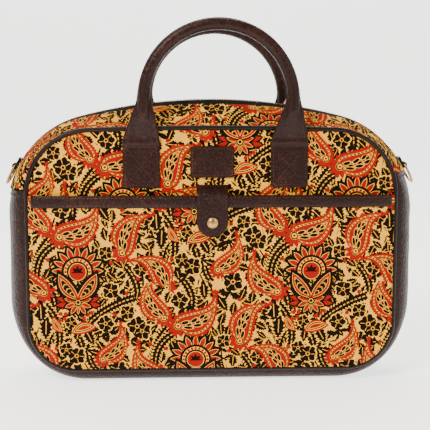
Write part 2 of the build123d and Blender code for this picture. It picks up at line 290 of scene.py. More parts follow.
def nicked(end: Array, corner: float) -> Array:
    """How far a rounded corner draws an edge in: a quarter circle at a distance from the end.

    Args:
        end: Distance from the end, in mm.
        corner: Radius of the corner, in mm.

    Returns:
        The draw at each place, in mm.
    """
    nick = np.clip(1.0 - end / corner, 0.0, 1.0)
    return corner * (1.0 - np.sqrt(1.0 - nick ** 2))


def unit(vectors: Array) -> Array:
    """Vectors of length one, along the last axis."""
    return vectors / np.linalg.norm(vectors, axis=-1, keepdims=True)


def everywhere(direction: Sequence[float], path: Array) -> Array:
    """One direction for every point of a path."""
    return np.broadcast_to(np.array(direction, dtype=float), path.shape)


def loop_tangent(path: Array) -> Array:
    """Unit tangents of a closed path, from the neighbours of each point."""
    return unit(np.roll(path, -1, axis=0) - np.roll(path, 1, axis=0))


def rays(edge: Array, middle: Array, rings: int, power: float = 0.8) -> tuple[Array, Array]:
    """Points on straight rays from a middle to an edge, closer together towards the edge.

    Args:
        edge: Closed edge without its repeated end, shape (n, 2).
        middle: Where the rays start.
        rings: Points on each ray.
        power: Power of the share of the way, below one for closer rings outside.

    Returns:
        Points, shape (rings, n + 1, 2), and the share of the way, shape (rings, 1).
    """
    closed = np.vstack([edge, edge[:1]])
    reach = np.linspace(0.0, 1.0, rings)[:, None, None] ** power
    return middle + (closed - middle)[None] * reach, reach[..., 0]


def along_path(path: Array, pitch: float, closed: bool = False) -> tuple[Array, Array]:
    """Points at an even pitch along a polyline, and its unit tangents there.

    Args:
        path: Points, shape (n, 3), in mm.
        pitch: Wanted distance between points, in mm.
        closed: Whether the path runs back to its start.

    Returns:
        The points and the tangents.
    """
    line = np.vstack([path, path[:1]]) if closed else path
    length = np.concatenate([[0.0], np.cumsum(np.linalg.norm(np.diff(line, axis=0), axis=1))])
    count = max(2, int(round(length[-1] / pitch)))
    place = (np.arange(count) + 0.5) * length[-1] / count
    step = 0.02 * pitch
    points, ahead, behind = (np.stack([np.interp(at, length, line[:, axis]) for axis in range(3)], axis=-1)
                             for at in (place, place + step, place - step))
    return points, unit(ahead - behind)


@dataclass(frozen=True)
class Thread:
    """Sewing thread: each stitch is a small pillow that dips at both ends."""

    pitch: float = 3.9
    length: float = 2.9
    width: float = 0.9
    rise: float = 0.45
    rings: int = 5
    sides: int = 6

    def sew(self, name: str, runs: Sequence[tuple[Array, Array, bool]]) -> Piece:
        """Lay stitches along runs: an ellipsoid for each, long along the seam.

        Args:
            name: Name of the piece.
            runs: Path, outward direction and whether it is closed, for each row of stitches.

        Returns:
            One piece with all the stitches.
        """
        places, alongs, outs = [], [], []
        for path, out, closed in runs:
            points, tangent = along_path(path, self.pitch, closed)
            normal = np.broadcast_to(np.asarray(out, dtype=float), path.shape)
            nearest = np.argmin(np.linalg.norm(points[:, None] - path[None], axis=-1), axis=1)
            places.append(points)
            alongs.append(tangent)
            outs.append(normal[nearest])
        place, along, out = (np.vstack(part) for part in (places, alongs, outs))
        side = unit(np.cross(out, along))
        polar = np.linspace(0, math.pi, self.rings)[:, None]
        turn = np.linspace(0, 2 * math.pi, self.sides, endpoint=False)[None, :]
        shape = np.stack(np.broadcast_arrays(
            np.cos(polar) * self.length / 2,
            np.sin(polar) * np.cos(turn) * self.width / 2,
            np.sin(polar) * np.sin(turn) * self.rise), axis=-1).reshape(-1, 3)
        points = (place[:, None] + shape[None, :, :1] * along[:, None]
                  + shape[None, :, 1:2] * side[:, None] + shape[None, :, 2:] * out[:, None])
        one = np.array(grid_faces(self.rings, self.sides, False, True, True))
        faces = (one[None] + (np.arange(len(place)) * len(shape))[:, None, None]).reshape(-1, 4)
        return Piece(name, points.reshape(-1, 3), faces.tolist()).outward()


# Shader maths


class Value:
    """A number socket in a node tree: arithmetic on it adds Math nodes."""

    def __init__(self, tree: "Tree", socket: bpy.types.NodeSocket) -> None:
        """Wrap a socket of a tree."""
        self.tree = tree
        self.socket = socket

    def math(self, operation: str, *others: Any) -> "Value":
        """Add a Math node with this value first."""
        return self.tree.math(operation, self, *others)

    def __add__(self, other: Any) -> "Value":
        """Sum."""
        return self.math("ADD", other)

    __radd__ = __add__

    def __sub__(self, other: Any) -> "Value":
        """Difference."""
        return self.math("SUBTRACT", other)

    def __rsub__(self, other: Any) -> "Value":
        """Difference, with this value second."""
        return self.tree.math("SUBTRACT", other, self)

    def __mul__(self, other: Any) -> "Value":
        """Product."""
        return self.math("MULTIPLY", other)

    __rmul__ = __mul__

    def __truediv__(self, other: Any) -> "Value":
        """Quotient."""
        return self.math("DIVIDE", other)

    def __lt__(self, other: Any) -> "Value":
        """One where this value is below the other, else zero."""
        return self.math("LESS_THAN", other)

    def __gt__(self, other: Any) -> "Value":
        """One where this value is above the other, else zero."""
        return self.math("GREATER_THAN", other)

    def __pow__(self, other: Any) -> "Value":
        """Power."""
        return self.math("POWER", other)

    def __and__(self, other: Any) -> "Value":
        """Both masks."""
        return self.math("MULTIPLY", other)

    def __or__(self, other: Any) -> "Value":
        """Either mask."""
        return self.math("MAXIMUM", other)

    def __abs__(self) -> "Value":
        """Size without sign."""
        return self.math("ABSOLUTE")

    def low(self, other: Any) -> "Value":
        """The smaller of two values."""
        return self.math("MINIMUM", other)

    def high(self, other: Any) -> "Value":
        """The larger of two values."""
        return self.math("MAXIMUM", other)

    def wave(self) -> "Value":
        """Sine of the value."""
        return self.math("SINE")

    def part(self) -> "Value":
        """What is left past the whole number below."""
        return self.math("FRACT")

    def zigzag(self, step: float) -> "Value":
        """Distance from the middle of each step, from 0 to half a step."""
        return self.math("PINGPONG", step / 2)


class Tree:
    """Builds one material's nodes."""

    def __init__(self, name: str) -> None:
        """Start a material with an empty tree.

        Args:
            name: Name of the material.
        """
        self.material = bpy.data.materials.new(name)
        self.material.use_nodes = True
        self.nodes = self.material.node_tree.nodes
        self.links = self.material.node_tree.links
        self.nodes.clear()

    def node(self, kind: str, settings: Optional[dict] = None, **sockets: Any) -> bpy.types.Node:
        """Add any node: its settings first, then values or links of its sockets.

        Args:
            kind: Blender's name of the node type.
            settings: Attributes of the node.
            sockets: Inputs by name, with underscores for spaces, or i0, i1 by number.

        Returns:
            The node.
        """
        node = self.nodes.new(kind)
        for key, value in (settings or {}).items():
            setattr(node, key, value)
        for key, value in sockets.items():
            is_number = key[0] == "i" and key[1:].isdigit()
            self.feed(node.inputs[int(key[1:]) if is_number else key.replace("_", " ")], value)
        return node

    def feed(self, target: bpy.types.NodeSocket, value: Any) -> None:
        """Link a socket or set its value.

        Args:
            target: The input.
            value: A wrapped value, an output to link, or a plain number, vector or colour.
        """
        if isinstance(value, Value):
            value = value.socket
        if isinstance(value, bpy.types.NodeSocket):
            self.links.new(value, target)
        else:
            target.default_value = value

    def math(self, operation: str, *values: Any) -> Value:
        """Math node on values or numbers."""
        sockets = {f"i{i}": value for i, value in enumerate(values)}
        return Value(self, self.node("ShaderNodeMath", {"operation": operation}, **sockets).outputs[0])

    def vector(self, operation: str, *values: Any) -> bpy.types.NodeSocket:
        """Vector Math node that gives a vector."""
        sockets = {f"i{i}": value for i, value in enumerate(values)}
        return self.node("ShaderNodeVectorMath", {"operation": operation}, **sockets).outputs[0]

    def length(self, value: bpy.types.NodeSocket) -> Value:
        """Length of a vector."""
        node = self.node("ShaderNodeVectorMath", {"operation": "LENGTH"}, i0=value)
        return Value(self, node.outputs["Value"])

    def split(self, value: bpy.types.NodeSocket) -> tuple[Value, Value, Value]:
        """The three parts of a vector."""
        node = self.node("ShaderNodeSeparateXYZ", i0=value)
        return tuple(Value(self, output) for output in node.outputs)

    def mix(self, factor: Any, first: Any, second: Any) -> bpy.types.NodeSocket:
        """Colour between two, by a factor."""
        node = self.node("ShaderNodeMix", {"data_type": "RGBA"}, i0=factor, i6=first, i7=second)
        return node.outputs[2]

    def choose(self, factor: Any, first: Any, second: Any) -> bpy.types.NodeSocket:
        """Vector between two, by a factor."""
        node = self.node("ShaderNodeMix", {"data_type": "VECTOR"}, i0=factor, i4=first, i5=second)
        return node.outputs[1]

    def noise(self, place: bpy.types.NodeSocket, scale: float, detail: float = 2.0,
              rough: float = 0.5) -> Value:
        """Noise from 0 to 1."""
        node = self.node("ShaderNodeTexNoise", Vector=place, Scale=scale, Detail=detail, Roughness=rough)
        return Value(self, node.outputs[0])

    def cells(self, place: bpy.types.NodeSocket, scale: float, feature: str = "F1") -> Value:
        """Distance in a field of scattered cells."""
        node = self.node("ShaderNodeTexVoronoi", {"feature": feature}, Vector=place, Scale=scale)
        return Value(self, node.outputs["Distance"])

    def object_place(self) -> bpy.types.NodeSocket:
        """Place in the object's own frame, in metres."""
        return self.node("ShaderNodeTexCoord").outputs["Object"]

    def flat_place(self) -> bpy.types.NodeSocket:
        """Place on the flat cloth, in metres."""
        return self.node("ShaderNodeUVMap", {"uv_map": "flat"}).outputs[0]

    def bump(self, height: Value, strength: float, distance: float) -> bpy.types.NodeSocket:
        """Normal from a height."""
        node = self.node("ShaderNodeBump", Height=height, Strength=strength, Distance=distance)
        return node.outputs[0]

    def close(self, **sockets: Any) -> bpy.types.Material:
        """Finish with a Principled shader and return the material."""
        shader = self.node("ShaderNodeBsdfPrincipled", **sockets)
        self.node("ShaderNodeOutputMaterial", Surface=shader.outputs[0])
        return self.material


def colour(code: str) -> tuple[float, float, float, float]:
    """Linear colour from a six-digit screen code."""
    parts = [int(code[i:i + 2], 16) / 255 for i in (0, 2, 4)]
    return tuple(p / 12.92 if p <= 0.04045 else ((p + 0.055) / 1.055) ** 2.4 for p in parts) + (1.0,)


# Finishes

INK_BLACK = colour("0E0806")
INK_RED = colour("8C1109")
CREAM = colour("E8AA32")
CREAM_DEEP = colour("D89624")


@dataclass(frozen=True)
class Spot:
    """Where a motif stands in the print: x to the right and y upwards, one unit to about a millimetre."""

    x: float
    y: float
    turn: float = 0.0
    size: float = 1.0
    flip: bool = False


def between_points(eye: tuple, tip: tuple, belly: tuple, reach: float) -> Spot:
    """Stand a drop with its eye and tip on two points, its belly to the side of a third.

    Args:
        eye: Place of the round end, x to the right and y downwards.
        tip: Place of the tail's end.
        belly: Middle of the body.
        reach: Distance from eye to tip in the motif's own units.

    Returns:
        The spot, at the middle between eye and tip.
    """
    across, up = tip[0] - eye[0], eye[1] - tip[1]
    length = math.hypot(across, up)
    middle = ((eye[0] + tip[0]) / 2, -(eye[1] + tip[1]) / 2)
    lean = (belly[0] - eye[0]) * up - (eye[1] - belly[1]) * across
    return Spot(middle[0], middle[1], math.atan2(up, across) - math.pi / 2, length / reach, lean < 0)


class Canvas:
    """A print in the making: the place in print units and the colour painted so far."""

    def __init__(self, tree: Tree, x: Value, y: Value, jitter: Value, shade: bpy.types.NodeSocket) -> None:
        """Start from a bare ground.

        Args:
            tree: The material's tree.
            x: Print place to the right.
            y: Print place upwards.
            jitter: Small shift that makes edges less even.
            shade: Colour of the ground.
        """
        self.tree = tree
        self.x = x
        self.y = y
        self.jitter = jitter
        self.shade = shade

    def paint(self, mask: Value, ink: tuple) -> None:
        """Lay an ink where a mask is one."""
        self.shade = self.tree.mix(mask, self.shade, ink)

    def bands(self, edge: Value, steps: Sequence[tuple], mask: Optional[Value] = None) -> None:
        """Lay inks inside an edge, each on top of the one before.

        Args:
            edge: Distance outside the edge, below zero inside.
            steps: Reach and ink of each band.
            mask: Where the bands may show, or everywhere.
        """
        for reach, ink in steps:
            inside = edge < reach
            self.paint(inside if mask is None else inside & mask, ink)

    @contextmanager
    def shaken(self, share: float) -> Iterator[None]:
        """Shift the print place by a share of the jitter while motifs are drawn.

        Args:
            share: Share of the jitter.

        Yields:
            Nothing: the place is moved back afterwards.
        """
        steady = self.x, self.y
        shift = self.jitter * share
        self.x, self.y = self.x + shift, self.y + shift
        yield
        self.x, self.y = steady


@dataclass(frozen=True)
class JaggedLeaf:
    """Leaf with a saw-toothed edge and a pale vein: its half width falls as one less a square along it."""

    tooth: float
    slant: float
    bite: float
    half_length_square: float
    half_width: float
    vein_half: float
    vein_reach: float
    border: float = -1.0

    def draw(self, canvas: Canvas, u: Value, v: Value) -> None:
        """Draw the leaf.

        Args:
            canvas: The print so far.
            u: Place across the leaf.
            v: Place along it.
        """
        side = abs(u)
        jag = ((v + side * self.slant) / self.tooth).part() * self.bite
        edge = side - (1.0 - v * v * (1 / self.half_length_square)) * self.half_width
        if self.border > -1.0:
            canvas.paint(edge < jag + self.border, CREAM)
        canvas.paint(edge < jag - 1.0, INK_BLACK)
        canvas.paint((side < self.vein_half) & (abs(v) < self.vein_reach), CREAM_DEEP)


STREWN_LEAF = JaggedLeaf(2.8, 0.8, 1.7, 54.0, 4.3, 0.32, 4.5)
SPRAY_LEAF = JaggedLeaf(3.6, 0.9, 1.9, 100.0, 4.6, 0.35, 5.5, border=0.1)


@dataclass(frozen=True)
class Print:
    """Block print of drops, a lotus, blossoms and vines that repeats in rows, each a half step on."""

    units_per_metre: float = 1034.0
    origin_across: float = 212.5
    origin_up: float = -386.6
    upright: float = 0.99
    step_across: float = 233.0
    shift_across: float = 117.0
    step_up: float = 90.0
    drop_reach: float = 50.0
    leaf_step: float = 12.0
    soft_scale: float = 260.0
    stem_half: float = 0.75
    vine_half: float = 3.2
    vine_saw: tuple = (3.3, 0.7, 1.9)
    vine_dash: tuple = (4.2, 0.62)
    blossom_reach: float = 4.7
    dot_square: float = 4.2
    seed_row: float = 9.0
    lotus_dome: float = 12.0
    lotus_base: float = 18.5
    lotus_lean: tuple = (0.79, 0.61)
    lotus_reach: float = 35.0
    drop_points: tuple = (
        ((61, 236), (103, 208), (82, 228)),
        ((123, 252), (148, 211), (125, 236)),
        ((167, 287), (134, 255), (162, 269)),
        ((164, 318), (148, 277), (153.5, 304)),
        ((218, 270), (241, 236), (230, 255)),
        ((277.5, 292), (249.5, 255), (262, 277)),
    )
    lotus_point: tuple = (78.5, 283)
    blossom_points: tuple = (
        (141, 268.5, 5.6, 0.4), (106.5, 252, 5.2, -0.3), (105.5, 323, 6.2, 0.3), (127.5, 312, 5.6, -0.5),
        (137, 326, 7.4, 0.2), (192, 266, 6.8, -0.4), (179.5, 300, 6.4, 0.5), (66, 349.5, 5.4, 0.0),
        (233, 282, 7.6, -0.2), (263, 308, 5.4, 0.4), (258, 241, 6.6, -0.6), (111, 290, 6.2, 1.1),
        (187, 232, 4.6, 0.2), (206, 318, 5.2, -0.3),
    )
    leaf_points: tuple = (
        (41, 311, 0.05, 1.0), (162, 237, -0.05, 1.0), (151, 331, -0.8, 0.7), (205, 246, 0.5, 0.8),
        (118, 263, 0.9, 0.6), (243, 294, -0.4, 0.7), (95, 353, 1.2, 0.7), (222, 303, 0.6, 0.8),
        (118, 283, 1.9, 0.6), (98, 243, 0.5, 0.5), (204, 290, 0.1, 0.8), (30, 290, -0.3, 0.7),
        (145, 246, 0.9, 0.5), (247, 322, 0.2, 0.7),
    )
    pair_points: tuple = ((56.5, 325, 0.55, 0.85), (83.5, 327, -1.32, 1.15))
    dot_points: tuple = (
        (63, 307), (61, 313), (66, 313), (60, 320), (65, 318), (88, 314), (84, 317), (97, 306), (92, 312),
        (55, 289), (58, 279), (127, 345), (115, 314), (193, 322), (205, 335), (199, 340), (138, 278),
        (240, 300), (246, 306), (44, 278), (150, 345), (49, 259), (112, 262), (172, 258), (213, 292),
        (127, 293),
    )
    vine_points: tuple = (
        ((36, 278), (55, 234), 5.5), ((124, 264), (138, 291), 3.0), ((90, 321), (135, 297), 3.0),
        ((74, 313), (46, 347), -5.0), ((175, 333), (155, 366), -6.0), ((181, 278), (187, 318), 7.5),
        ((44, 281), (55, 317), 5.0), ((79, 338), (83, 364), 1.5), ((189, 234), (167, 251), -3.0),
        ((214, 245), (211, 281), -8.0), ((277, 303), (291, 350), 7.0),
    )
    stem_points: tuple = (
        ((141, 268), (128, 256), 2.0), ((106, 252), (112, 290), -4.0), ((127, 312), (137, 350), 4.0),
        ((192, 266), (205, 290), 3.0), ((180, 300), (172, 326), -4.0), ((233, 282), (226, 318), -4.0),
        ((258, 241), (270, 262), -3.0), ((41, 300), (36, 334), 3.0),
    )

    def canvas(self, tree: Tree) -> Canvas:
        """Bare cloth: the flat place in print units, with a cream that varies a little.

        Args:
            tree: The material's tree.

        Returns:
            The canvas.
        """
        scale = (self.units_per_metre, self.units_per_metre * self.upright, 0.0)
        origin = (self.origin_across, self.origin_up, 0.0)
        x, y, _ = tree.split(tree.vector("MULTIPLY_ADD", tree.flat_place(), scale, origin))
        soft = tree.noise(tree.flat_place(), self.soft_scale)
        return Canvas(tree, x, y, (soft - 0.5) * 0.5, tree.mix(soft, CREAM, CREAM_DEEP))

    def ink(self, tree: Tree) -> bpy.types.NodeSocket:
        """Paint the whole repeat, back to front.

        Args:
            tree: The material's tree.

        Returns:
            The painted colour.
        """
        canvas = self.canvas(tree)
        self.filler(canvas)
        self.vines(canvas)
        with canvas.shaken(1.0):
            self.leaves(canvas)
            self.blossoms(canvas)
            self.pairs(canvas)
        self.dots(canvas)
        self.lotus(canvas)
        with canvas.shaken(0.5):
            self.drops(canvas)
        return canvas.shade

    def local(self, canvas: Canvas, spot: Spot) -> bpy.types.NodeSocket:
        """Place in a motif's own units, counted from its nearest repeat.

        Args:
            canvas: The print so far.
            spot: Where the motif stands.

        Returns:
            The local vector.
        """
        tree = canvas.tree
        rise = canvas.y - spot.y
        row = (rise / self.step_up).math("ROUND")
        up = rise - row * self.step_up
        half = self.step_across / 2
        across = (canvas.x - spot.x + row * self.shift_across).math("WRAP", half, -half)
        joined = tree.node("ShaderNodeCombineXYZ", i0=across, i1=up).outputs[0]
        scale = (-spot.size if spot.flip else spot.size, spot.size, 1.0)
        turned = tree.node("ShaderNodeMapping", {"vector_type": "TEXTURE"}, Vector=joined,
                           Rotation=(0.0, 0.0, spot.turn), Scale=scale)
        return turned.outputs[0]

    def nearest(self, canvas: Canvas, spots: Sequence[Spot], narrow: float = 1.0) -> tuple[Value, Value]:
        """Local place of whichever motif of a kind lies nearest, measured wide by a factor.

        Args:
            canvas: The print so far.
            spots: Places of the kind.
            narrow: How much more a step across counts than a step along.

        Returns:
            The local x and y.
        """
        tree = canvas.tree
        best, least = None, None
        for spot in spots:
            place = self.local(canvas, spot)
            away = tree.length(tree.vector("MULTIPLY", place, (narrow, 1.0, 0.0)))
            if best is None:
                best, least = place, away
            else:
                best = tree.choose(away < least, best, place)
                least = least.low(away)
        return tree.split(best)[:2]

    def filler(self, canvas: Canvas) -> None:
        """Strew small jagged leaves over the ground, each turned its own way.

        Args:
            canvas: The print so far.
        """
        tree = canvas.tree
        place = tree.node("ShaderNodeCombineXYZ", i0=canvas.x, i1=canvas.y).outputs[0]
        strewn = tree.node("ShaderNodeTexVoronoi", Vector=place, Scale=1.0 / self.leaf_step,
                           Randomness=0.85)
        away = tree.vector("SUBTRACT", place, strewn.outputs["Position"])
        turn = tree.split(strewn.outputs["Color"])[0] * (2 * math.pi)
        turned = tree.node("ShaderNodeVectorRotate", {"rotation_type": "Z_AXIS"}, Vector=away, Angle=turn)
        u, v, _ = tree.split(turned.outputs[0])
        STREWN_LEAF.draw(canvas, u, v)

    def bowed(self, canvas: Canvas, line: tuple) -> tuple[Value, Value, Value]:
        """Place along and off a bowed line between two points: a parabola through both.

        Args:
            canvas: The print so far.
            line: Start, end and bow of the line.

        Returns:
            Length from its middle, distance off it, and whether the place is abreast of it.
        """
        start, end, bow = line
        half = math.hypot(end[0] - start[0], end[1] - start[1]) / 2
        turn = math.atan2(start[1] - end[1], end[0] - start[0])
        spot = Spot((start[0] + end[0]) / 2, -(start[1] + end[1]) / 2, turn)
        u, v, _ = canvas.tree.split(self.local(canvas, spot))
        return u, abs(v - bow + u * u * (bow / half ** 2)), abs(u) < half

    def vines(self, canvas: Canvas) -> None:
        """Draw thin stems, and bowed vines with saw-toothed edges and a broken pale line along the middle.

        Args:
            canvas: The print so far.
        """
        for line in self.stem_points:
            _, off, inside = self.bowed(canvas, line)
            canvas.paint((off < self.stem_half) & inside, INK_BLACK)
        tooth, slant, bite = self.vine_saw
        dash, filled = self.vine_dash
        for line in self.vine_points:
            u, off, inside = self.bowed(canvas, line)
            saw = ((u + off * slant) / tooth).part() * bite
            canvas.bands(off - saw, ((self.vine_half + 1.0, CREAM), (self.vine_half, INK_BLACK)), inside)
            canvas.paint((off < 0.6) & ((u / dash).part() < filled) & inside, CREAM_DEEP)

    def leaves(self, canvas: Canvas) -> None:
        """Draw the placed jagged leaves.

        Args:
            canvas: The print so far.
        """
        spray = [Spot(px, -py, turn, size * 1.25) for px, py, turn, size in self.leaf_points]
        SPRAY_LEAF.draw(canvas, *self.nearest(canvas, spray, 1.5))

    def blossoms(self, canvas: Canvas) -> None:
        """Draw dark blossoms: a lobed disc, whose edge is a sum of sines of the angle, on a leafy stalk.

        Args:
            canvas: The print so far.
        """
        tree = canvas.tree
        spots = [Spot(px, -py, turn, size / self.blossom_reach)
                 for px, py, size, turn in self.blossom_points]
        u, v = self.nearest(canvas, spots)
        away = tree.math("SQRT", u * u + v * v)
        angle = tree.math("ARCTAN2", u, v)
        lobe = abs((angle * 4.0).wave()) * 1.3 + abs((angle * 2.0 + 0.8).wave())
        stalk = (abs(u + v * v * 0.02) < 0.8) & (v < 0.0) & (v > -13.0)
        leaf_u, leaf_v = abs(u) - 3.4, v + 8.0
        small = (leaf_u * leaf_u + leaf_v * leaf_v * 2.2 + leaf_u * leaf_v) < 6.0
        canvas.paint(away < lobe + 5.3, CREAM)
        canvas.paint((away < lobe + 4.3) | stalk | small, INK_BLACK)
        line = (abs((angle * 2.5).wave()) < 0.14) & (abs(away - 3.4) < 1.5)
        canvas.paint(line | (abs(away - 1.2) < 0.3), CREAM_DEEP)

    def pairs(self, canvas: Canvas) -> None:
        """Draw the bowed leaves with several outlines.

        Args:
            canvas: The print so far.
        """
        spots = [Spot(px, -py, turn, size) for px, py, turn, size in self.pair_points]
        u, v = self.nearest(canvas, spots, 1.6)
        edge = abs(u - v * v * 0.02) - (1.0 - v * v * (1 / 121.0)) * 5.0
        steps = ((0.3, INK_RED), (-1.3, CREAM), (-1.9, INK_BLACK), (-2.9, CREAM), (-3.4, INK_RED))
        canvas.bands(edge, steps)

    def dots(self, canvas: Canvas) -> None:
        """Draw round red dots."""
        u, v = self.nearest(canvas, [Spot(px, -py) for px, py in self.dot_points])
        canvas.paint((u * u + v * v) < self.dot_square, INK_RED)

    def fan(self, tree: Tree, u: Value, v: Value, step: float, middle: float, half: float,
            wide: float) -> tuple[Value, Value, Value]:
        """Ring of pointed petals: how far outside the nearest petal a place lies.

        Args:
            tree: The material's tree.
            u: Place to the right of the ring's centre.
            v: Place above the ring's centre.
            step: Angle between petals, in degrees.
            middle: Radius at the petals' middle.
            half: Half a petal's length.
            wide: Half its width.

        Returns:
            The distance, the angle from straight up and the distance from the centre.
        """
        away = tree.math("SQRT", u * u + v * v)
        angle = tree.math("ARCTAN2", u, v)
        sector = angle.math("WRAP", math.radians(step / 2), math.radians(-step / 2))
        along = (away * sector.math("COSINE") - middle) / half
        return abs(away * sector.wave()) - (1.0 - along * along) * wide, angle, away

    def lotus(self, canvas: Canvas) -> None:
        """Draw the lotus, back to front: tendrils, dome, side petals, curved leaves and a lower flower.

        Args:
            canvas: The print so far.
        """
        spot = Spot(self.lotus_point[0], -self.lotus_point[1])
        u, v, _ = canvas.tree.split(self.local(canvas, spot))
        base = v + self.lotus_base
        self.tendrils(canvas, abs(u) - 25.5, v - 3.0)
        self.dome(canvas, u, v - self.lotus_dome)
        edge, angle, _ = self.fan(canvas.tree, u, base + 1.0, 19.0, 15.5, 7.5, 2.9)
        flank = abs(abs(angle) - math.radians(80)) < math.radians(29)
        canvas.bands(edge, ((1.0, INK_BLACK), (-0.7, INK_RED)), flank)
        self.curved_leaves(canvas, abs(u), base)
        edge, angle, away = self.fan(canvas.tree, u, base, 37.0, 8.4, 6.6, 3.0)
        lower = abs(angle) > math.radians(68)
        canvas.bands(edge, ((1.3, INK_BLACK), (-0.9, CREAM), (-1.3, INK_RED)), lower)
        canvas.bands(away, ((3.6, INK_BLACK), (2.4, CREAM), (1.7, INK_BLACK)))

    def tendrils(self, canvas: Canvas, u: Value, v: Value) -> None:
        """Draw a spiral at each side, whose radius grows evenly with its angle, and its stem.

        Args:
            canvas: The print so far.
            u: Place outwards from the spiral's centre.
            v: Place above it.
        """
        tree = canvas.tree
        curl = tree.math("SQRT", u * u + v * v)
        spiral = (curl / 4.4 + tree.math("ARCTAN2", v, u) * (-1 / (2 * math.pi))).part()
        canvas.paint((abs(spiral - 0.5) < 0.2) & (curl < 6.6), INK_BLACK)
        stem = abs(v - 5.6 + u * u * 0.03) < 0.9
        canvas.paint(stem & (u < 1.0) & (u > -14.0), INK_BLACK)

    def dome(self, canvas: Canvas, u: Value, top: Value) -> None:
        """Draw a fan of petals over rings, a row of dots and a sprig.

        Args:
            canvas: The print so far.
            u: Place to the right of the dome's centre.
            top: Place above it.
        """
        tree = canvas.tree
        edge, angle, away = self.fan(tree, u, top, 22.0, 18.0, 9.4, 4.0)
        upper = abs(angle) < math.radians(110)
        canvas.bands(edge, ((1.6, INK_BLACK), (-1.3, CREAM), (-1.8, INK_RED)), upper)
        canvas.bands(away, ((15.8, INK_BLACK), (13.5, CREAM)), top > -8.0)
        dot, _, _ = self.fan(tree, u, top, 18.0, 12.0, 1.4, 1.4)
        canvas.paint((dot < 0.0) & upper, INK_RED)
        canvas.bands(away, ((10.7, INK_BLACK), (8.8, CREAM), (8.2, INK_RED)), top > -9.0)
        sprig, _, _ = self.fan(tree, u, top + 0.5, 48.0, 3.2, 3.2, 1.4)
        canvas.paint((sprig < 0.0) & (top > -1.0), INK_BLACK)

    def curved_leaves(self, canvas: Canvas, side: Value, base: Value) -> None:
        """Draw a bowed leaf to each side: its bow and its half width follow a share times the rest.

        Args:
            canvas: The print so far.
            side: Place outwards from the lotus's middle line.
            base: Place above the leaves' root.
        """
        cosine, sine = self.lotus_lean
        along = (side * sine + base * cosine) / self.lotus_reach
        hump = along * (1.0 - along)
        off = abs(side * cosine - base * sine - hump * 12.0 + 3.0)
        edge = off - hump * 27.0
        grown = along > 0.0
        steps = ((2.4, INK_BLACK), (-0.8, CREAM), (-1.3, INK_RED), (-3.4, CREAM), (-3.8, INK_BLACK))
        canvas.bands(edge, steps, grown)
        vein = (along * 7.0 + off * 0.16).part()
        canvas.paint((edge < -4.2) & (abs(vein - 0.5) < 0.1) & grown, CREAM_DEEP)

    def drops(self, canvas: Canvas) -> None:
        """Draw curled drops: petals at the eye, a scalloped red edge, a broken line, a field and seeds.

        The half width is a root of the share of the way times a power of the rest, and the middle line
        bows to one side and curls back near the tip.

        Args:
            canvas: The print so far.
        """
        tree = canvas.tree
        spots = [between_points(*points, self.drop_reach) for points in self.drop_points]
        u, v = self.nearest(canvas, spots, 1.7)
        half = self.drop_reach / 2
        share = ((v + half) / self.drop_reach).high(0.0).low(1.0)
        left = 1.0 - share
        curl = ((share - 0.6).high(0.0) / 0.4) ** 2.0 * 7.0
        off = u - share * left * 34.0 + curl
        wide = (share + 0.02) ** 0.5 * left ** 1.4 * 35.0
        past = v + half - share * self.drop_reach
        edge = tree.math("SQRT", off * off + past * past) - wide
        petal, angle, eye = self.fan(tree, u, -half - v, 36.0, 7.4, 4.5, 2.35)
        canvas.paint((petal < 0.0) & (abs(angle) < math.radians(125)), INK_RED)
        scallop = (v + off * 0.5).zigzag(2.9) * 1.3
        canvas.paint(edge < scallop + 1.5, INK_RED)
        ring = abs(edge + 1.7)
        canvas.paint(ring < 0.85, CREAM)
        canvas.paint((ring < 0.6) & ((v / 3.6).part() < 0.66), INK_BLACK)
        canvas.paint(edge < -2.55, INK_RED)
        self.seeds(canvas, abs(off), v, edge)
        canvas.bands(eye, ((3.5, INK_BLACK), (2.5, CREAM), (1.4, INK_RED)))

    def seeds(self, canvas: Canvas, aside: Value, v: Value, edge: Value) -> None:
        """Draw rows of oval seeds in a drop: a slanted pair, and one in the middle between pairs.

        Args:
            canvas: The print so far.
            aside: Distance from the drop's middle line.
            v: Place along the drop.
            edge: Distance outside the drop's edge.
        """
        half_row = self.seed_row / 2
        row = (v - aside * 0.8 + 2.0).math("WRAP", half_row, -half_row)
        between = (v + 6.5).math("WRAP", half_row, -half_row)
        pair = ((aside - 3.0) / 1.9) ** 2.0 + (row / 3.4) ** 2.0
        sprig = pair.low((aside / 1.3) ** 2.0 + (between / 2.5) ** 2.0)
        canvas.paint((edge < -4.7) & (sprig < 1.55), CREAM)
        canvas.paint((edge < -4.9) & (sprig < 0.95), INK_BLACK)


@dataclass(frozen=True)
class PrintedCotton:
    """Printed plain-weave cotton: the print, a woven relief and slight fading."""

    design: Print = Print()
    thread: float = 1500.0
    fade: float = 0.25

    def material(self) -> bpy.types.Material:
        """Build the finish.

        Returns:
            The material.
        """
        tree = Tree("printed_cotton")
        shade = self.design.ink(tree)
        place = tree.flat_place()
        worn = tree.noise(place, 18.0, 3.0)
        shade = tree.mix(worn * self.fade, shade, INK_BLACK)
        x, y, _ = tree.split(place)
        weave = (x * self.thread * math.pi).wave() * (y * self.thread * math.pi).wave()
        slub = tree.noise(place, 900.0, 1.0)
        normal = tree.bump(weave * 0.5 + slub, 0.35, 0.0003)
        return tree.close(Base_Color=shade, Roughness=0.9, Normal=normal, Specular_IOR_Level=0.06)


